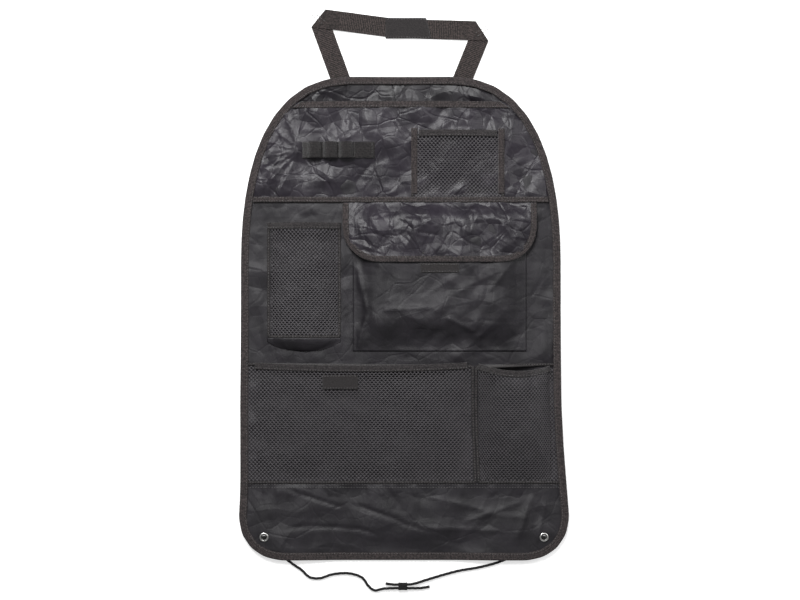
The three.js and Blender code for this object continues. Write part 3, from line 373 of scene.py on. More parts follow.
def edge_lines(node, steps, axis):
    """Where a CAD sheet starts and ends across, at evenly spaced places along an axis."""
    mesh = cad_mesh(node)
    co = corners_of(mesh)
    other = 1 - axis
    levels = np.linspace(co[:, axis].min() + EDGE_MARGIN, co[:, axis].max() - EDGE_MARGIN, steps + 1)
    ends = np.array([edge.vertices[:] for edge in mesh.edges])
    a, b = co[ends[:, 0]], co[ends[:, 1]]
    low, high = [], []
    for level in levels:
        crossing = (a[:, axis] - level) * (b[:, axis] - level) <= 0
        p, q = a[crossing], b[crossing]
        span = q[:, axis] - p[:, axis]
        span[np.abs(span) < 1e-9] = 1
        share = np.clip((level - p[:, axis]) / span, 0, 1)
        places = p[:, other] + (q[:, other] - p[:, other]) * share
        low.append(places.min())
        high.append(places.max())
    return levels, np.array(low), np.array(high)


# Making pieces


def add_object(name, mesh, look, nodes=(), smooth=True):
    """A new piece with its material, riding on the organizer and standing for its CAD nodes."""
    piece = placed(name, mesh)
    mesh.materials.append(LOOKS[look])
    if smooth:
        mesh.shade_smooth()
    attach(piece, BODY)
    if nodes:
        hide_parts(*nodes)
    return piece


def set_weave(mesh, values):
    """Stores how far along and across its tape each point is."""
    attribute = mesh.attributes.new(WEAVE, "FLOAT_VECTOR", "POINT")
    attribute.data.foreach_set("vector", np.array(values, dtype=np.float32).ravel())


def mesh_of(name, points, faces, weave=None):
    mesh = bpy.data.meshes.new(name)
    mesh.from_pydata([tuple(map(float, p)) for p in points], [], faces)
    mesh.validate()
    if weave is not None:
        set_weave(mesh, weave)
    return mesh


def grid_faces(rows, columns):
    """The faces of a grid of points that are listed row by row."""
    wide = columns + 1
    starts = [i * wide + j for i in range(rows) for j in range(columns)]
    return [(a, a + 1, a + wide + 1, a + wide) for a in starts]


def ring_faces(count, around, closed):
    """The faces between rings of points, and from the last ring to the first if they close."""
    faces = []
    for i in range(count if closed else count - 1):
        a, b = i * around, ((i + 1) % count) * around
        for k in range(around):
            n = (k + 1) % around
            faces.append((a + k, b + k, b + n, a + n))
    return faces


def swept(name, rings, weave, closed):
    """A mesh from rings of points, capped where it isn't closed."""
    around = len(rings[0])
    last = (len(rings) - 1) * around
    faces = ring_faces(len(rings), around, closed)
    if not closed:
        faces.append(tuple(range(around)))
        faces.append(tuple(reversed(range(last, last + around))))
    return mesh_of(name, [p for ring in rings for p in ring], faces, [w for ring in weave for w in ring])


def applied(piece):
    """Applies the modifiers of a piece."""
    graph = bpy.context.evaluated_depsgraph_get()
    done = bpy.data.meshes.new_from_object(piece.evaluated_get(graph))
    piece.modifiers.clear()
    piece.data = done


def thickened(piece, thickness):
    """Gives a sheet its thickness, below the side that it was drawn on."""
    solid = piece.modifiers.new("thickness", "SOLIDIFY")
    solid.thickness = thickness
    solid.offset = -1
    applied(piece)


# Paths


def run_lengths(points):
    """How far along a line each of its points is."""
    return np.concatenate([[0], np.cumsum(np.linalg.norm(np.diff(points, axis=0), axis=1))])


def resampled(path, step, closed=False):
    """Points of a path at even spacing."""
    line = np.array(list(path) + ([path[0]] if closed else []))
    lengths = run_lengths(line)
    count = max(2, round(lengths[-1] / step))
    at = np.linspace(0, lengths[-1], count + 1)
    points = np.stack([np.interp(at, lengths, line[:, k]) for k in (0, 1)], axis=1)
    return points[:-1] if closed else points


def rounded_off(points, closed, times):
    """Corners of a path eased."""
    for _ in range(times):
        eased = (np.roll(points, 1, 0) + 2 * points + np.roll(points, -1, 0)) / 4
        if not closed:
            eased[0], eased[-1] = points[0], points[-1]
        points = eased
    return points


def inward(points, closed):
    """Unit normals on the left of a path."""
    if closed:
        run = np.roll(points, -1, 0) - np.roll(points, 1, 0)
    else:
        run = np.gradient(points, axis=0)
    run /= np.hypot(run[:, 0], run[:, 1])[:, None]
    return np.stack([-run[:, 1], run[:, 0]], axis=1)


# Wrinkles

# How fast a crease or a fold grows from its ends, and with what share of its height it starts
CREASE_ENDS = (4, 0.25)
FOLD_ENDS = (5, 0.15)

# Facets: their sizes, how their folds are bent, and the patches that they come in
FACET_SIZES = (0.7, 1.6)
FACET_BEND = (2.4, 0.8)
FACET_PATCH = 3
FACET_CALM = 0.3


def smoothstep(t):
    t = np.clip(t, 0, 1)
    return t * t * (3 - 2 * t)


def faded(place, ends):
    """Grows from both ends of a line, whose places go from 0 to 1."""
    rate, start = ends
    return smoothstep(np.minimum(place, 1 - place) * rate + start)


def along_line(x, y, start, end):
    """Share along a line and distance from it, for arrays of points."""
    a, b = np.array(start), np.array(end)
    run = b - a
    t = ((x - a[0]) * run[0] + (y - a[1]) * run[1]) / (run @ run)
    inside = np.clip(t, 0, 1)
    away = np.hypot(x - a[0] - run[0] * inside, y - a[1] - run[1] * inside)
    return t, away


def crease(x, y, start, end, height, width):
    """A ridge with a sharp crest that dies out at both ends."""
    t, away = along_line(x, y, start, end)
    return height * faded(t, CREASE_ENDS) * np.exp(-away / width)


def fold_line(x, y, points, height, width):
    """A fold along a bent line. It dies out at both ends."""
    nearest = np.full_like(x, np.inf)
    place = np.zeros_like(x)
    lengths = run_lengths(points)
    for a, b, before, after in zip(points, points[1:], lengths, lengths[1:]):
        t, away = along_line(x, y, a, b)
        share = (before + np.clip(t, 0, 1) * (after - before)) / lengths[-1]
        place = np.where(away < nearest, share, place)
        nearest = np.minimum(away, nearest)
    return height * faded(place, FOLD_ENDS) * np.exp(-nearest / width)


def scattered_creases(x, y, seed, count, length, height, width, heading=0.0, spread=math.pi):
    """Seeded creases all over a piece. heading and spread give their main direction."""
    draw = random.Random(seed)
    total = np.zeros_like(x)
    for _ in range(count):
        middle = (draw.uniform(x.min(), x.max()), draw.uniform(y.min(), y.max()))
        angle = heading + draw.uniform(-spread, spread) / 2
        half = length * draw.uniform(0.3, 1) / 2
        offset = (math.cos(angle) * half, math.sin(angle) * half)
        start = (middle[0] - offset[0], middle[1] - offset[1])
        end = (middle[0] + offset[0], middle[1] + offset[1])
        size = height * draw.uniform(0.3, 1) * draw.choice((-1, 1))
        total += crease(x, y, start, end, size, width * draw.uniform(0.6, 1.6))
    return total


def rolling(x, y, seed, size, height):
    """Soft waves of about that size."""
    shift = seed * 7.3
    values = [noise.noise(Vector((a / size + shift, b / size, shift))) for a, b in zip(x, y)]
    return height * np.array(values)


def crumple(x, y, seed, size, height, waves=4):
    """Flat facets between sharp folds: warped triangle waves that run in several directions."""
    draw = random.Random(seed)
    reach, strength = FACET_BEND
    warp = rolling(x, y, seed + 1, reach * size, strength)
    total = np.zeros_like(x)
    for k in range(waves):
        angle = math.pi * (k + draw.uniform(0.1, 0.9)) / waves
        length = size * draw.uniform(*FACET_SIZES)
        phase = (x * math.cos(angle) + y * math.sin(angle)) / length + draw.uniform(0, 1) + warp
        total += (np.abs(2 * (phase - np.floor(phase)) - 1) - 0.5) * length / size
    patch = smoothstep(0.55 + 1.1 * rolling(x, y, seed + 2, FACET_PATCH * size, 1.0))
    return height * total / waves * (FACET_CALM + (1 - FACET_CALM) * patch)


def sewn_down(x, y, nodes, reach=9 * MM):
    """0 along the borders of the pieces that are sewn on, and 1 away from them."""
    free = np.ones_like(x)
    for node in nodes:
        low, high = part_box(node)
        across = np.maximum(low.x - x, x - high.x)
        along = np.maximum(low.y - y, y - high.y)
        outside = np.hypot(np.maximum(across, 0), np.maximum(along, 0))
        away = np.where(outside > 0, outside, -np.maximum(across, along))
        free *= smoothstep(away / reach)
    return free


# Cloths

CLOTH_THICKNESS = 0.6 * MM


class Cloth:
    """A grid of points over a CAD sheet, which wrinkles are added to before it becomes a mesh."""

    def __init__(self, node, step):
        low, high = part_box(node)
        self.node = node
        self.rows = round((high.y - low.y) / step)
        self.columns = round((high.x - low.x) / step)
        surface = Surface(cad_mesh(node))
        levels, lefts, rights = edge_lines(node, self.rows, 1)
        self.x = np.array([np.linspace(*ends, self.columns + 1) for ends in zip(lefts, rights)])
        self.y = np.repeat(levels[:, None], self.columns + 1, axis=1)
        z = [surface.top(a, b) for a, b in zip(*self.flat_points())]
        self.z = np.array(z).reshape(self.x.shape)
        self.free = np.ones_like(self.z)
        self.cut = self.measured()

    def measured(self):
        """Width, length and area of the cloth before it wrinkles, all along the CAD sheet."""
        grid = np.stack([self.x, self.y, self.z], axis=2)
        across, along = np.diff(grid, axis=1), np.diff(grid, axis=0)
        width = np.linalg.norm(across, axis=2).sum(axis=1).max()
        length = np.linalg.norm(along, axis=2).sum(axis=0)[self.columns // 2]
        area = np.linalg.norm(np.cross(across[:-1], along[:, :-1]), axis=2).sum()
        return float(width), float(length), float(area)

    def flat_points(self):
        return self.x.ravel(), self.y.ravel()

    def relax(self, times):
        """Rounds the facets of the CAD sheet, with its border kept."""
        for _ in range(times):
            inner = self.z[1:-1, 1:-1]
            around = self.z[:-2, 1:-1] + self.z[2:, 1:-1] + self.z[1:-1, :-2] + self.z[1:-1, 2:]
            self.z[1:-1, 1:-1] = 0.5 * inner + 0.125 * around

    def hold(self, reach):
        """Wrinkles die out towards the borders, which are sewn."""
        left, right = self.x.min(axis=1, keepdims=True), self.x.max(axis=1, keepdims=True)
        bottom, top = self.y.min(), self.y.max()
        for away in (self.x - left, right - self.x, self.y - bottom, top - self.y):
            self.free *= smoothstep(away / reach)

    def add(self, heights):
        self.z += self.free * heights.reshape(self.z.shape)

    def piece(self, name, look, hole=None):
        """The finished cloth. It lies on or above the floor."""
        x, y = self.flat_points()
        points = np.stack([x, y, np.maximum(self.z.ravel(), CLOTH_THICKNESS)], axis=1)
        faces = grid_faces(self.rows, self.columns)
        if hole:
            faces = [face for face in faces if not hole(x[face[0]], y[face[0]])]
        made = add_object(name, mesh_of(name, points, faces), look, [self.node])
        thickened(made, CLOTH_THICKNESS)
        return made


# Nets

# A net's holes: pitch across, step from row to row, half length of a tie, and open share of a cell
NET_PITCH = 4.8 * MM
NET_ROW = 2.5 * MM
NET_TIE = 0.45 * MM
NET_OPEN = 0.76
NET_THICKNESS = 0.6 * MM

# Where the first hole lies, in pitches and rows, and how many places its outline and height are read at
NET_START = (0.3, 0.6)
NET_STATIONS = 60
NET_HEIGHTS = 200

HEM_WIDTH = 3.4 * MM
HEM_STEP = 2.4 * MM
HEM_RISE = 0.3 * MM
HEM_SHARES = (1, 0.66, 0.33, 0)

# The bottle net's pleats: their number and height, and how fast they grow from the seam and die out
PLEATS = 9
PLEAT_HEIGHT = 1.3 * MM
PLEAT_START = 20
PLEAT_FADE = 6
BOTTLE_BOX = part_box("bottle_pocket_net")


def net_faces(cells):
    """The threads between holes. Each hole's six corners start at the number that cells gives."""
    faces = []
    for (i, j), own in cells.items():
        shift = j % 2
        right = cells.get((i + 1, j))
        upper_right = cells.get((i + shift, j + 1))
        upper_left = cells.get((i - 1 + shift, j + 1))
        if right is not None:
            faces.append((own + 5, right + 3, right + 2, own))
        if upper_right is not None:
            faces.append((own, upper_right + 4, upper_right + 3, own + 1))
        if upper_left is not None:
            faces.append((own + 1, upper_left + 5, upper_left + 4, own + 2))
        if right is not None and upper_right is not None:
            faces.append((own, right + 2, upper_right + 4))
        if upper_left is not None and upper_right is not None:
            faces.append((own + 1, upper_right + 3, upper_left + 5))
    return faces


def knitted_net(name, node, gathers):
    """A knitted net of six-sided holes over the CAD net. Its holes are spaced along the cloth."""
    surface = Surface(cad_mesh(node), net=True)
    low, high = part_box(node)
    levels, lefts, rights = edge_lines(node, NET_STATIONS, 1)
    stations, bottoms, tops = edge_lines(node, NET_STATIONS, 0)
    middle = (low.y + high.y) / 2
    xs = np.linspace(low.x, high.x, NET_HEIGHTS)
    lengths = run_lengths([(x, surface.top(x, middle)) for x in xs])
    half, peak = NET_PITCH / 2, NET_ROW - NET_TIE
    margin = half * NET_OPEN
    corners = [(half, NET_TIE), (0, peak), (-half, NET_TIE), (-half, -NET_TIE), (0, -peak), (half, -NET_TIE)]
    cells, points = {}, []
    for j in range(int((high.y - low.y) / NET_ROW)):
        y = low.y + (j + NET_START[1]) * NET_ROW
        for i in range(int(lengths[-1] / NET_PITCH) + 1):
            s = (i + NET_START[0] + 0.5 * (j % 2)) * NET_PITCH
            x = np.interp(s, lengths, xs)
            between = np.interp(y, levels, lefts) + margin < x < np.interp(y, levels, rights) - margin
            below_mouth = np.interp(x, stations, bottoms) < y < np.interp(x, stations, tops) - peak
            if s + margin > lengths[-1] or not between or not below_mouth:
                continue
            cells[i, j] = len(points)
            for across, up in corners:
                px = float(np.interp(s + NET_OPEN * across, lengths, xs))
                py = y + NET_OPEN * up
                lift = gathers(px, py) if gathers else 0
                points.append((px, py, surface.top(px, py) + lift))
    piece = add_object(name, mesh_of(name, points, net_faces(cells)), "net", [node])
    thickened(piece, NET_THICKNESS)


def hem(name, net):
    """The strip that a net is sewn down with: down its left side, along its bottom and up again."""
    skin = Surface(cad_mesh(net), net=True)
    levels, lefts, rights = edge_lines(net, 50, 1)
    path = list(zip(lefts, levels))[::-1] + list(zip(rights, levels))
    points = rounded_off(resampled(path, HEM_STEP), False, 2)
    normals = inward(points, False)
    rings, weave = [], []
    for i, (p, n) in enumerate(zip(points, normals)):
        across = [p + n * HEM_WIDTH * share for share in HEM_SHARES]
        tops = [skin.top(*q) + HEM_RISE for q in across]
        ring = [(*q, z) for q, z in zip(across, tops)]
        ring += [(*q, z - TAPE_THICKNESS) for q, z in zip(across[::-1], tops[::-1])]
        rings.append(ring)
        weave.append([(i * HEM_STEP, 0, 0)] * len(ring))
    add_object(name, swept(name, rings, weave, closed=False), "elastic")
    stitches(f"{name}_stitches", [(points + normals * HEM_WIDTH / 2, False)], skin, rise=HEM_RISE)


def bottle_gathers(x, y):
    """Pleats along the bottom seam of the bottle net."""
    low, high = BOTTLE_BOX
    rise = (y - low.y) / (high.y - low.y)
    across = (x - low.x) / (high.x - low.x)
    ends = min(1, PLEAT_FADE * across, PLEAT_FADE * (1 - across))
    fade = math.exp(-PLEAT_FADE * rise) * min(1, PLEAT_START * rise)
    return PLEAT_HEIGHT * ends * fade * math.sin(across * 2 * math.pi * PLEATS)


# Tapes and stitches

TAPE_GAP = 0.3 * MM
TAPE_THICKNESS = 0.45 * MM
TAPE_STEP = 3 * MM
SMALL_TAPE_STEP = 2.4 * MM

# A tape ends this much short of the CAD's, is drawn at these shares of its width, and turns round the
# edge by these angles
TAPE_SHORT = 0.15 * MM
TAPE_SHARES = (1, 0.75, 0.5, 0.25, 0)
TAPE_TURNS = (45, 90, 135)

# How far from its end a tape's cut end leans
END_REACH = 12 * MM

# The height and size of the puckers along a tape
PUCKER = 0.35 * MM
PUCKER_SIZE = 7 * MM

# A stitch: its pitch, its share of the pitch, and a low wedge from end to end
STITCH_PITCH = 3.4 * MM
STITCH_SHARE = 0.72
STITCH_WIDTH = 0.85 * MM
STITCH_HEIGHT = 0.45 * MM
STITCH_MARGIN = 1.6 * MM
STITCH_FORM = (
    (-1, 0, 0), (-0.6, -1, 0), (-0.6, 1, 0), (-0.6, 0, 0.8),
    (0.6, -1, 0), (0.6, 1, 0), (0.6, 0, 0.8), (1, 0, 0),
)
STITCH_FACES = (
    (0, 1, 3), (0, 3, 2), (0, 2, 1), (1, 4, 6, 3), (3, 6, 5, 2),
    (1, 2, 5, 4), (4, 7, 6), (6, 7, 5), (4, 5, 7),
)

# A flat band: size of its cells, how much lower its rim lies, and how thick it is drawn, as shares of
# its thickness
BAND_CELL = (3 * MM, 1.5 * MM)
BAND_RIM = 0.4
BAND_DEPTH = 0.6
BINDING_THICKNESS = 0.5 * MM
PATCH_THICKNESS = 0.8 * MM
CLOSURE_THICKNESS = 1.0 * MM


def tape_section(p, n, width, skin):
    """Round a folded tape at one place of its edge: distance in from the edge, z, and place across."""
    pucker = PUCKER * noise.noise(Vector((p[0], p[1], 0)) / PUCKER_SIZE)
    tops = [skin.top(*(p + n * width * s)) + pucker for s in TAPE_SHARES]
    lows = [skin.bottom(*(p + n * width * s)) for s in TAPE_SHARES]
    high, low = tops[-1], lows[-1]
    fold = TAPE_GAP + TAPE_THICKNESS
    section = [(width * s, z, width * s) for s, z in zip(TAPE_SHARES, tops)]
    for turn in TAPE_TURNS:
        swing = math.radians(turn)
        z = (high + low) / 2 + math.cos(swing) * (high - low) / 2
        section.append((-fold * math.sin(swing), z, -fold))
    section += [(width * s, z, width * s) for s, z in zip(TAPE_SHARES[::-1], lows[::-1])]
    section.append((width, lows[0] + TAPE_THICKNESS, width))
    section.append((-TAPE_GAP / 2, low + TAPE_THICKNESS, 0))
    section.append((-TAPE_GAP / 2, high - TAPE_THICKNESS, 0))
    section.append((width, tops[0] - TAPE_THICKNESS, width))
    return section


def folded_tape(name, node, look, path, width, closed=False, step=TAPE_STEP, skew=0.0):
    """A tape folded round an edge, on the CAD tape's own surface. The edge's cloth is on the left.
    skew says how far its cut ends lean along the path, back at the start and on at the end."""
    skin = Surface(cad_mesh(node))
    points = rounded_off(resampled(path, step, closed), closed, 3)
    normals = inward(points, closed)
    if skew:
        run = np.stack([normals[:, 1], -normals[:, 0]], axis=1)
        away = np.arange(len(points)) * step / END_REACH
        tilt = skew * (smoothstep(away) - smoothstep(away[::-1]))
        normals += run * tilt[:, None]
    depth = width - TAPE_SHORT
    rings, weave = [], []
    for p, n, along in zip(points, normals, run_lengths(points)):
        section = tape_section(p, n, depth, skin)
        rings.append([(*(p + n * inside), z) for inside, z, _ in section])
        weave.append([(along, across, 0) for _, _, across in section])
    add_object(name, swept(name, rings, weave, closed), look, [node])
    stitches(f"{name}_stitches", [(points + normals * (depth - STITCH_MARGIN), closed)], skin)


def straight(start, end):
    """A straight row of stitches: its path, and that it isn't closed."""
    return np.array([start, end]), False


def stitches(name, rows, skin, pitch=STITCH_PITCH, rise=0.0):
    """Rows of lock stitches that lie on a surface. Each row is its path and whether it is closed."""
    points, faces = [], []
    for path, closed in rows:
        line = resampled(path, pitch, closed)
        following = np.roll(line, -1, 0)
        last = len(line) if closed else len(line) - 1
        for a, b in zip(line[:last], following[:last]):
            run = (b - a) * STITCH_SHARE / 2
            middle = (a + b) / 2
            across = np.array([-run[1], run[0]]) / np.hypot(*run) * STITCH_WIDTH / 2
            first = len(points)
            for along, wide, high in STITCH_FORM:
                x, y = middle + run * along + across * wide
                z = skin.top(*(middle + run * along)) + rise
                points.append((x, y, z + STITCH_HEIGHT * high))
            faces += [tuple(first + k for k in face) for face in STITCH_FACES]
    add_object(name, mesh_of(name, points, faces), "thread")


def flat_band(name, node, look, thickness):
    """A strip of tape sewn flat, with softly rounded edges."""
    skin = Surface(cad_mesh(node))
    levels, lefts, rights = edge_lines(node, 8, 1)
    low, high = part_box(node)
    columns = max(4, round((high.x - low.x) / BAND_CELL[0]))
    rows = max(4, round((high.y - low.y) / BAND_CELL[1]))
    points = []
    for i in range(rows + 1):
        y = levels[0] + (levels[-1] - levels[0]) * i / rows
        left, right = np.interp(y, levels, lefts), np.interp(y, levels, rights)
        for j in range(columns + 1):
            x = left + (right - left) * j / columns
            drop = BAND_RIM * thickness if i in (0, rows) or j in (0, columns) else 0
            points.append((x, y, skin.top(x, y) - drop))
    weave = [(x, y, 0) for x, y, _ in points]
    mesh = mesh_of(name, points, grid_faces(rows, columns), weave)
    thickened(add_object(name, mesh, look, [node]), thickness * BAND_DEPTH)
    seams = []
    for y in (levels[0] + STITCH_MARGIN, levels[-1] - STITCH_MARGIN):
        left, right = np.interp(y, levels, lefts), np.interp(y, levels, rights)
        seams.append(straight((left + STITCH_MARGIN, y), (right - STITCH_MARGIN, y)))
    stitches(f"{name}_stitches", seams, skin)


# Cords and fittings

CORD_DIAMETER = 3.5 * MM
CORD_CENTRE_Z = 1.8 * MM
CORD_STEPS = 12

# A cord's strands: their number, the length of one turn, and the depth of the grooves between them
STRANDS = 3
STRAND_TURN = 7 * MM
STRAND_GROOVE = 0.07

# The panel's bottom edge in millimetres, and the cords' routes: x, height above that edge, and rise of
# the centre line
PANEL_LOW = -343.08
LEFT_ROUTE = [
    (-174.5, 28.5, 0), (-164, 18, 0), (-156, 9, 0), (-147, 0.5, 0), (-137, -7, 0), (-128, -13, 0),
    (-118, -22, 0), (-105.5, -23.5, 0), (-89, -18.5, 0), (-67.5, -17.5, 0), (-52, -23, 0),
    (-44.5, -33, 0), (-37, -38.5, 0), (-26, -36.5, 0.4), (-12, -35.7, 1.05), (9, -35.7, 1.05),
    (21, -35.6, 0.4), (32, -34, 0),
]
RIGHT_ROUTE = [
    (174.5, 28.5, 0), (157, 15, 0), (138, 5, 0), (116, -4, 0), (92.5, -10, 0), (69, -14, 0),
    (48, -19.5, 0), (28, -25.5, 0.3), (10, -30.6, 1.05), (-12, -31.2, 1.05), (-23, -30, 0.4),
]

# A knot: the share of the CAD knot's radius that its tight turns take, the share of that for a strand,
# its height above the eyelet, and where the cord's stub ends in it
KNOT_SHARE = 0.85
KNOT_STRAND = 0.34
KNOT_RISE = 0.3 * MM
KNOT_POINTS = 90
STUB_END = 0.4
STUB_SHARE = 0.95

EYELET_BORE = 2.6 * MM
EYELET_WALL = 0.5 * MM
EYELET_RISE = 1.1 * MM
EYELET_ROUNDNESS = 0.6
WASHER_GAP = 0.3 * MM
WASHER_EDGE = 0.12 * MM

# The sleeve round the cords: its wall, how much narrower its middle is, how square its section is, and
# what keeps it inside the CAD sleeve
SLEEVE_WALL = 0.7 * MM
SLEEVE_WAIST = 0.06
SLEEVE_STATIONS = 13
SLEEVE_SIDES = 32
SLEEVE_POWER = 4
SLEEVE_SHRINK = (0.97, 0.95)
SLEEVE_TOP = 1.05


def centripetal(route, per_stretch):
    """The smooth curve that the CAD cord follows, through all points of its route."""
    points = np.array(route)
    ends = [2 * points[0] - points[1], 2 * points[-1] - points[-2]]
    line = np.vstack([ends[0], points, ends[1]])
    out = []
    for i in range(len(points) - 1):
        p = line[i:i + 4]
        t = np.concatenate([[0], np.cumsum(np.sqrt(np.linalg.norm(np.diff(p, axis=0), axis=1)))])
        for u in np.linspace(t[1], t[2], per_stretch, endpoint=False):
            a = [((t[k + 1] - u) * p[k] + (u - t[k]) * p[k + 1]) / (t[k + 1] - t[k]) for k in range(3)]
            b = [((t[k + 2] - u) * a[k] + (u - t[k]) * a[k + 1]) / (t[k + 2] - t[k]) for k in range(2)]
            out.append(((t[2] - u) * b[0] + (u - t[1]) * b[1]) / (t[2] - t[1]))
    return np.array(out + [points[-1]])


def twisted_tube(name, line, radius, sides=18):
    """A cord laid from strands: its section is lobed, and turns along its length."""
    run = np.gradient(line, axis=0)
    run /= np.linalg.norm(run, axis=1)[:, None]
    upright = np.abs(run[:, 2]).max() >= 0.9
    flat = np.cross(run, (0.0, 1.0, 0.0) if upright else (0.0, 0.0, 1.0))
    flat /= np.linalg.norm(flat, axis=1)[:, None]
    up = np.cross(flat, run)
    rings, weave = [], []
    for p, f, u, s in zip(line, flat, up, run_lengths(line)):
        twist = 2 * math.pi * s / STRAND_TURN
        ring, lay = [], []
        for k in range(sides):
            turn = 2 * math.pi * k / sides
            r = radius * (1 - STRAND_GROOVE + STRAND_GROOVE * math.cos(STRANDS * turn - twist))
            ring.append(p + (f * math.cos(turn) + u * math.sin(turn)) * r)
            lay.append((s, turn * radius, 0))
        rings.append(ring)
        weave.append(lay)
    return swept(name, rings, weave, closed=False)


def elastic_cord(side, route, sleeve=()):
    """A cord along its route, with its knot in the eyelet."""
    node = f"elastic_cord_{side}"
    stops = [(x * MM, (h + PANEL_LOW) * MM, CORD_CENTRE_Z + z * MM) for x, h, z in route]
    line = centripetal(stops, CORD_STEPS)
    mesh = twisted_tube(node, line, CORD_DIAMETER / 2)
    piece = add_object(f"{node}_strands", mesh, "cord", [node])
    knot(side)


def knot(side):
    """An overhand knot that sits on the eyelet, with the cord going down through it."""
    node = f"cord_knot_{side}"
    low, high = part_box(node)
    middle = (low + high) / 2
    radius = KNOT_SHARE * (high.x - low.x) / 2
    strand = KNOT_STRAND * radius
    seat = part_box(f"eyelet_{side}")[1].z + KNOT_RISE
    tall = high.z - seat
    loop = []
    for t in np.linspace(0, 2 * math.pi, KNOT_POINTS, endpoint=False):
        r = (math.sin(t) + 2 * math.sin(2 * t)) / 3
        s = (math.cos(t) - 2 * math.cos(2 * t)) / 3
        z = seat + tall / 2 - math.sin(3 * t) * (tall / 2 - strand)
        loop.append((middle.x + r * (radius - strand), middle.y + s * (radius - strand), z))
    turns = twisted_tube(node, np.array(loop + loop[:1]), strand, sides=10)
    ends = (middle.x, middle.y, low.z), (middle.x, middle.y, seat + tall * STUB_END)
    stub = twisted_tube(f"{node}_stub", np.linspace(*ends, 10), STUB_SHARE * CORD_DIAMETER / 2)
    piece = add_object(f"{node}_turns", turns, "cord", [node])
    add_object(f"{node}_tail", stub, "cord")
    return piece


def turned(name, profile, centre, node, segments=64):
    """A nickel ring turned about the vertical through centre, from its profile of (radius, z)."""
    points = []
    for i in range(segments):
        swing = 2 * math.pi * i / segments
        for r, z in profile:
            points.append((centre.x + r * math.cos(swing), centre.y + r * math.sin(swing), z))
    faces = ring_faces(segments, len(profile), closed=True)
    add_object(name, mesh_of(name, points, faces), "nickel", [node])


def eyelet(side):
    """A pressed ring with a rolled flange on the front, and its washer behind."""
    node, washer = f"eyelet_{side}", f"eyelet_washer_{side}"
    low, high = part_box(node)
    radius = (high.x - low.x) / 2
    outside = EYELET_BORE + EYELET_WALL
    seat = high.z - EYELET_RISE
    roll = [
        (outside + (radius - outside) * t, seat + EYELET_RISE * math.sin(math.pi * t) ** EYELET_ROUNDNESS)
        for t in np.linspace(0.96, 0.12, 9)
    ]
    barrel = [(outside, low.z), (outside, seat), (radius, seat)]
    bore = [(EYELET_BORE, seat + 0.3 * EYELET_RISE), (EYELET_BORE, low.z)]
    turned(f"{node}_ring", [*barrel, *roll, *bore], centre_of(node), node)
    low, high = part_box(washer)
    inner, flat = outside + WASHER_GAP, radius - WASHER_EDGE
    profile = [(inner, low.z), (flat, low.z), (radius, low.z + WASHER_EDGE), (radius, high.z - WASHER_EDGE),
               (flat, high.z), (inner, high.z)]
    turned(f"{washer}_ring", profile, centre_of(node), washer)


def cord_sleeve():
    """A flat sleeve pressed round both cords, flared a little at its ends."""
    low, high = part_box("cord_sleeve")
    middle = (low + high) / 2
    half = (high - low) / 2
    stations = np.linspace(-1, 1, SLEEVE_STATIONS)
    rings, weave = [], []
    for shrink, order in ((0, stations), (SLEEVE_WALL, stations[::-1])):
        for t in order:
            x = middle.x + t * half.x
            waist = 1 - SLEEVE_WAIST * (1 - t * t)
            ring = []
            for k in range(SLEEVE_SIDES):
                turn = 2 * math.pi * k / SLEEVE_SIDES
                side, lift = math.cos(turn), math.sin(turn)
                squared = (abs(side) ** SLEEVE_POWER + abs(lift) ** SLEEVE_POWER) ** (-1 / SLEEVE_POWER)
                y = middle.y + (half.y * waist - shrink) * side * squared * SLEEVE_SHRINK[0]
                z = middle.z + (half.z * waist - shrink) * lift * min(squared, SLEEVE_TOP) * SLEEVE_SHRINK[1]
                ring.append((x, y, z))
            rings.append(ring)
            weave.append([(x, y, 0) for x, y, _ in ring])
    return add_object("cord_sleeve_weave", swept("cord_sleeve", rings, weave, closed=True), "cord",
                      ["cord_sleeve"])


# The panel

PANEL_STEP = 2.4 * MM
RIM_TAPE = 9 * MM
EYELET_HOLE = 3.6 * MM
EYELETS = [centre_of(f"eyelet_{side}") for side in SIDES]

# How far the stitch rows lie below the bottom of the lower pockets, and where the cloth puckers there
SEAM_ROWS = (1.2 * MM, 5.0 * MM)
SEAM_PUCKERS = (-0.175, -0.159, -0.145, -0.134, -0.124, -0.094, -0.084, -0.046, -0.030, -0.014,
                0.012, 0.034, 0.071, 0.108, 0.142, 0.163)

# Long bent folds in the plain cloth at the bottom, as points along each
BOTTOM_FOLDS = (
    ((-0.148, -0.2545), (-0.126, -0.262), (-0.103, -0.270), (-0.0725, -0.279)),
    ((-0.064, -0.272), (-0.0395, -0.2825), (-0.014, -0.2915), (0.0075, -0.301), (0.040, -0.309)),
    ((-0.150, -0.306), (-0.126, -0.301), (-0.0905, -0.302), (-0.055, -0.305), (-0.027, -0.313)),
)

# Straight folds in the plain cloth at the bottom: start, end, height and width
PANEL_CREASES = (
    ((0.000, -0.303), (0.130, -0.307), 1.6 * MM, 2.2 * MM),
    ((0.020, -0.262), (0.115, -0.285), 1.6 * MM, 2.6 * MM),
    ((0.070, -0.298), (0.150, -0.270), 1.4 * MM, 3 * MM),
    ((0.160, -0.262), (0.142, -0.316), 2.2 * MM, 3 * MM),
    ((0.177, -0.268), (0.166, -0.320), 1.6 * MM, 2.4 * MM),
    ((-0.175, -0.262), (-0.160, -0.300), 1.4 * MM, 3 * MM),
)


def at_eyelet(x, y):
    """Cloth that the eyelets' barrels go through. x and y are the corner of a cell."""
    half = PANEL_STEP / 2
    return any(math.hypot(x + half - e.x, y + half - e.y) < EYELET_HOLE for e in EYELETS)


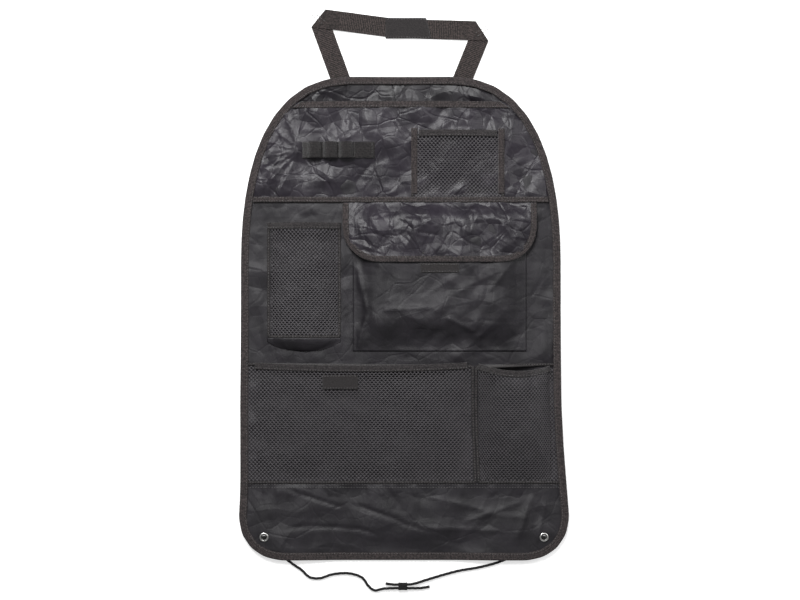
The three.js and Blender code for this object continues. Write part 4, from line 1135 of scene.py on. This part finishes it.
def back_panel():
    cloth = Cloth("back_panel", PANEL_STEP)
    cloth.relax(6)
    cloth.hold(20 * MM)
    x, y = cloth.flat_points()
    free = sewn_down(x, y, ("phone_pocket_net", "flap_pocket_body", "lower_pocket_net", "bottle_pocket_net",
                            "divider_binding", "upper_pocket_panel"))
    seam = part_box("lower_pocket_net")[0].y
    below = smoothstep((seam - y) / (5 * MM))
    cloth.add(rolling(x, y, seed=3, size=60 * MM, height=0.9 * MM) * free)
    facets = crumple(x, y, seed=61, size=30 * MM, height=3.0 * MM, waves=3)
    cloth.add(facets * free * (1 - 0.6 * below))
    creases = scattered_creases(x, y, seed=5, count=200, length=90 * MM, height=0.9 * MM, width=2.0 * MM)
    cloth.add(creases * free)
    for place in SEAM_PUCKERS:
        end = (place + 3 * MM, seam - 15 * MM)
        cloth.add(crease(x, y, (place, seam), end, height=1.6 * MM, width=2.2 * MM) * below)
    for line in BOTTOM_FOLDS:
        cloth.add(fold_line(x, y, line, height=1.8 * MM, width=9 * MM) * below)
        cloth.add(fold_line(x, y, line, height=-3.0 * MM, width=2.0 * MM) * below)
    for start, end, height, width in PANEL_CREASES:
        cloth.add(crease(x, y, start, end, height, width) * below)
    panel = cloth.piece("back_panel_cloth", "panel painted-shade nylon", hole=at_eyelet)
    left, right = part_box("lower_pocket_net")[0].x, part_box("bottle_pocket_net")[1].x
    rows = [straight((left, seam - drop), (right, seam - drop)) for drop in SEAM_ROWS]
    stitches("bottom_seam_stitches", rows, Surface(panel.data))


def edge_binding():
    """The tape round the panel's outline, anticlockwise, with the panel on its left."""
    levels, lefts, rights = edge_lines("back_panel", 240, 1)
    rim = list(zip(rights, levels)) + list(zip(lefts, levels))[::-1]
    folded_tape("edge_binding_tape", "edge_binding", "tape", rim, RIM_TAPE, closed=True)


# The upper slip pocket and its pen loops

SLIP_TAPE = 7.5 * MM
SLIP_SKEW = 1.5
SLIP_OVERRUN = 2 * MM

# Directions of the creases that spread from the pen band, in degrees, and their length
PEN_BAND_RAYS = (112, 140, 165, 190, 207, 224, 243)
RAY_LENGTH = 60 * MM

# The pen band: loops, distance between them, length sewn down between two, start, height and tail
PEN_LOOPS = 3
PEN_PITCH = 20 * MM
PEN_TACK = 2 * MM
PEN_START = 6 * MM
PEN_HEIGHT = 9 * MM
PEN_TAIL = 24 * MM
PEN_STEPS = 24
PEN_ROWS = 12
PEN_THICKNESS = 0.9 * MM
PEN_RISE = 1.5 * MM
PEN_SAG = 0.25 * MM
PEN_STITCH = 1.8 * MM


def slip_pocket():
    cloth = Cloth("upper_pocket_panel", 2.1 * MM)
    cloth.relax(8)
    cloth.hold(12 * MM)
    x, y = cloth.flat_points()
    free = sewn_down(x, y, ("card_pocket_net", "pen_loop_band"), 6 * MM)
    cloth.add(rolling(x, y, seed=8, size=40 * MM, height=1.2 * MM) * free)
    cloth.add(crumple(x, y, seed=71, size=27 * MM, height=4.6 * MM, waves=3) * free)
    creases = scattered_creases(x, y, seed=21, count=90, length=70 * MM, height=1.0 * MM, width=1.8 * MM)
    cloth.add(creases * free)
    low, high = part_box("pen_loop_band")
    hub = (low.x - 3 * MM, (low.y + high.y) / 2)
    for turn in PEN_BAND_RAYS:
        swing = math.radians(turn)
        tip = (hub[0] + RAY_LENGTH * math.cos(swing), hub[1] + RAY_LENGTH * math.sin(swing))
        cloth.add(crease(x, y, hub, tip, height=2.2 * MM, width=2.6 * MM))
    cloth.piece("upper_pocket_cloth", "nylon")
    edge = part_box("upper_pocket_panel")[1].y
    low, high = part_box("upper_pocket_binding")
    path = [(high.x + SLIP_OVERRUN, edge), (low.x - SLIP_OVERRUN, edge)]
    folded_tape("upper_pocket_binding_tape", "upper_pocket_binding", "tape", path, SLIP_TAPE, skew=SLIP_SKEW)
    flat_band("divider_binding_tape", "divider_binding", "tape", BINDING_THICKNESS)


def pen_profile():
    """The pen band from the side: how far along it goes, and how high."""
    profile = [(0.0, 0.0)]
    for loop in range(PEN_LOOPS):
        for k in range(PEN_STEPS + 1):
            turn = math.pi * k / PEN_STEPS
            along = PEN_START + loop * PEN_PITCH + (PEN_PITCH - PEN_TACK) * (1 - math.cos(turn)) / 2
            profile.append((along, PEN_HEIGHT * math.sin(turn)))
    sewn = PEN_START + PEN_LOOPS * PEN_PITCH
    return profile + [(sewn + PEN_TAIL * t, 0.0) for t in np.linspace(0.1, 1, 10)]


def pen_loops():
    """Elastic sewn down between its loops, with a flat tail."""
    low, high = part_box("pen_loop_band")
    ground = Surface(cad_mesh("upper_pocket_panel"))
    profile = pen_profile()
    points, weave = [], []
    for (s, z), travelled in zip(profile, run_lengths(profile)):
        x = low.x + s
        for j in range(PEN_ROWS + 1):
            y = low.y + (high.y - low.y) * j / PEN_ROWS
            sag = PEN_SAG * math.cos(math.pi * (2 * j / PEN_ROWS - 1)) * (z > 0)
            points.append((x, y, ground.top(x, y) + z + sag + PEN_RISE))
            weave.append((travelled, y, 0))
    faces = [(a, d, c, b) for a, b, c, d in grid_faces(len(profile) - 1, PEN_ROWS)]
    mesh = mesh_of("pen_loop_band", points, faces, weave)
    thickened(add_object("pen_loop_elastic", mesh, "dark elastic", ["pen_loop_band"]), PEN_THICKNESS)
    places = [low.x + PEN_START + k * PEN_PITCH - PEN_TACK / 2 for k in range(PEN_LOOPS + 1)]
    places.append(high.x - 3 * MM)
    tacks = [straight((x, low.y + 1 * MM), (x, high.y - 1 * MM)) for x in places]
    stitches("pen_loop_stitches", tacks, ground, pitch=PEN_STITCH, rise=PEN_RISE)


# The flap pocket

FLAP_TAPE = 7 * MM
PATCHES = ("flap_pocket_hook_patch", "flap_loop_patch", "lower_pocket_hook_tab")

# Folds in the flap pocket's front: start, end, height and width
BODY_CREASES = (
    ((-0.060, 0.028), (-0.046, -0.035), 2.6 * MM, 3 * MM),
    ((-0.046, -0.035), (-0.058, -0.080), 2.6 * MM, 3 * MM),
    ((-0.030, -0.032), (0.036, -0.028), 1.8 * MM, 2.5 * MM),
    ((0.050, -0.040), (0.092, -0.060), 2.8 * MM, 4.5 * MM),
    ((0.092, -0.060), (0.096, -0.080), 1.8 * MM, 4 * MM),
    ((0.140, 0.035), (0.105, -0.010), 2.4 * MM, 5 * MM),
    ((0.060, -0.012), (0.125, 0.020), 1.5 * MM, 6 * MM),
)


def flap_pocket_body():
    body = Cloth("flap_pocket_body", 2 * MM)
    body.relax(5)
    body.hold(8 * MM)
    x, y = body.flat_points()
    free = sewn_down(x, y, ["flap_pocket_hook_patch"], 5 * MM)
    body.add(rolling(x, y, seed=12, size=45 * MM, height=1.4 * MM) * free)
    body.add(crumple(x, y, seed=33, size=22 * MM, height=2.6 * MM) * free)
    creases = scattered_creases(x, y, seed=31, count=90, length=60 * MM, height=0.6 * MM, width=2.2 * MM)
    body.add(creases * free)
    for start, end, height, width in BODY_CREASES:
        body.add(crease(x, y, start, end, height, width))
    body.piece("flap_pocket_cloth", "calm painted-shade nylon")


def flap():
    cloth = Cloth("flap", 1.5 * MM)
    cloth.relax(6)
    cloth.hold(8 * MM)
    x, y = cloth.flat_points()
    cloth.add(rolling(x, y, seed=17, size=26 * MM, height=1.6 * MM))
    cloth.add(crumple(x, y, seed=44, size=26 * MM, height=4.4 * MM, waves=3))
    cloth.add(scattered_creases(x, y, seed=41, count=80, length=60 * MM, height=1.2 * MM, width=1.5 * MM,
                                heading=-0.8, spread=2.4))
    cloth.piece("flap_cloth", "nylon")
    levels, lefts, rights = edge_lines("flap", 60, 1)
    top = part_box("flap_binding")[1].y
    shown = [k for k, level in enumerate(levels) if level < top]
    path = [(lefts[k], levels[k]) for k in shown[::-1]] + [(rights[k], levels[k]) for k in shown]
    folded_tape("flap_binding_tape", "flap_binding", "tape", path, FLAP_TAPE, step=SMALL_TAPE_STEP)


# The net pockets

NET_TAPE = 7.5 * MM


def net_pocket(name, gathers=None):
    """A net, the hem that it is sewn down with, and the elastic along its mouth."""
    net, band = f"{name}_net", f"{name}_top_band"
    knitted_net(f"{name}_mesh", net, gathers)
    hem(f"{name}_hem", net)
    low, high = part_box(band)
    xs, _, tops = edge_lines(net, 50, 0)
    path = [(x, y) for x, y in zip(xs[::-1], tops[::-1]) if low.x < x < high.x]
    folded_tape(f"{band}_tape", band, "elastic", path, NET_TAPE, step=SMALL_TAPE_STEP)


def nets():
    net_pocket("lower_pocket")
    net_pocket("bottle_pocket", bottle_gathers)
    net_pocket("phone_pocket")
    net_pocket("card_pocket")
    for side in SIDES:
        flat_band(f"card_pocket_{side}_tape", f"card_pocket_{side}_binding", "tape", BINDING_THICKNESS)


def phone_pocket_base():
    base = Cloth("phone_pocket_base", 1.6 * MM)
    base.relax(4)
    base.hold(6 * MM)
    x, y = base.flat_points()
    base.add(scattered_creases(x, y, seed=51, count=40, length=25 * MM, height=0.5 * MM, width=1.6 * MM))
    base.piece("phone_pocket_base_cloth", "calm painted-shade nylon")


# The headrest strap

# Middle lines of the strap's two parts, in millimetres: x, and height above the panel
STRAP_LINES = {
    "left": ((-80, 0), (-107, 74), (-11, 61.5)),
    "right": ((74, 0), (97.5, 58), (-7, 61.5)),
}
STRAP_EASE = 0.35 * MM

# The two rows of stitches along a mitre: distance from its fold, and half their length
MITRE_GAP = 2.2 * MM
MITRE_REACH = 9 * MM


def strap_points(side):
    """The strap's middle line: where it leaves the panel, its fold and its free end."""
    panel_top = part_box("back_panel")[1].y
    return [np.array((x * MM, y * MM + panel_top)) for x, y in STRAP_LINES[side]]


def mitre_rows(side):
    """Two rows of stitches along the fold of a strap."""
    base, fold, end = strap_points(side)
    legs = [(p - fold) / np.hypot(*(p - fold)) for p in (base, end)]
    along = sum(legs) / np.hypot(*sum(legs)) * MITRE_REACH
    across = np.array((-along[1], along[0])) / MITRE_REACH
    middles = [fold + across * offset for offset in (-MITRE_GAP, MITRE_GAP)]
    return [straight(middle - along, middle + along) for middle in middles]


def set_leg_weave(mesh, side):
    """Ribs run across each leg of a strap: the upright leg below its mitre, and the run beside it."""
    base, fold, end = strap_points(side)
    values = []
    for p in corners_of(mesh)[:, :2]:
        _, near_leg = along_line(*p, base, fold)
        _, near_run = along_line(*p, fold, end)
        a, b = (base, fold) if near_leg < near_run else (fold, end)
        run = (b - a) / np.hypot(*(b - a))
        values.append(((p - a) @ run, (p - a) @ np.array((-run[1], run[0])), 0))
    set_weave(mesh, values)


def straps():
    """Webbing on the CAD straps, with eased edges and a weave that follows each leg."""
    for side in SIDES:
        node = f"strap_{side}"
        source = cad_mesh(node).copy()
        source.materials.clear()
        piece = add_object(f"{node}_webbing", source, "webbing", [node], smooth=False)
        bevel = piece.modifiers.new("eased", "BEVEL")
        bevel.width = STRAP_EASE
        bevel.segments = 2
        bevel.limit_method = "ANGLE"
        applied(piece)
        set_leg_weave(piece.data, side)
        stitches(f"{node}_stitches", mitre_rows(side), Surface(cad_mesh(node)))
    flat_band("strap_closure_pile", "strap_closure_band", "hook", CLOSURE_THICKNESS)


# Floor and light

FLOOR_HALF = 6
FLOOR_Z = -0.6 * MM

# The floor's own light near the organizer, and between which distances it grows to full white
FLOOR_GLOW = 0.6
FLOOR_FADE = (0.55, 1.3)

# How strong the world's light is. The camera sees it as full white.
WORLD_LIGHT = 0.16

# Square lamps that face the middle of the floor: place, size and power
LAMPS = {
    "key": ((-0.35, 0.95, 1.45), 0.7, 32),
    "side": ((1.4, 0.6, 1.1), 0.8, 9),
    "low": ((-0.3, -1.6, 1.3), 1.0, 1.5),
}


def stage():
    """A white floor that keeps the organizer's shadow, and a white world."""
    corners = [(x * FLOOR_HALF, y * FLOOR_HALF, FLOOR_Z) for x, y in ((-1, -1), (1, -1), (1, 1), (-1, 1))]
    mesh = mesh_of("floor", corners, [(0, 1, 2, 3)])
    floor = placed("floor", mesh)
    shading = principled("floor", (0.8, 0.8, 0.8), roughness=0.9)
    rays = shading.nodes.new("ShaderNodeLightPath").outputs
    seen = shading.larger(rays["Is Camera Ray"], rays["Is Glossy Ray"])
    seen = shading.larger(seen, rays["Is Transmission Ray"])
    away = shading.add("ShaderNodeVectorMath", {0: shading.place()}, "LENGTH").outputs["Value"]
    glow = shading.ranged(away, FLOOR_GLOW, 1.0, *FLOOR_FADE)
    shine = {"Emission Color": (1, 1, 1, 1), "Emission Strength": shading.times(seen, glow)}
    shading.fill(shading.main, shine)
    mesh.materials.append(shading.owner)
    world = bpy.data.worlds.new("world")
    bpy.context.scene.world = world
    shading = Shading(world, "Background")
    rays = shading.nodes.new("ShaderNodeLightPath").outputs
    strength = shading.ranged(rays["Is Camera Ray"], WORLD_LIGHT, 1.0)
    shading.fill(shading.main, {"Color": (1, 1, 1, 1), "Strength": strength})


def lamps():
    for name, (place, size, power) in LAMPS.items():
        data = bpy.data.lights.new(name, "AREA")
        data.size = size
        data.energy = power
        lamp = placed(name, data)
        lamp.location = place
        lamp.rotation_euler = (-Vector(place)).to_track_quat("-Z", "Y").to_euler()


# Building the scene


camera()
elastic_cord("left", LEFT_ROUTE, [cord_sleeve()])
elastic_cord("right", RIGHT_ROUTE)
for each in SIDES:
    eyelet(each)
back_panel()
edge_binding()
slip_pocket()
flap_pocket_body()
flap()
for patch in PATCHES:
    flat_band(f"{patch}_pile", patch, "hook", PATCH_THICKNESS)
nets()
phone_pocket_base()
pen_loops()
straps()
stage()
lamps()
bpy.context.scene.view_settings.view_transform = "Standard"
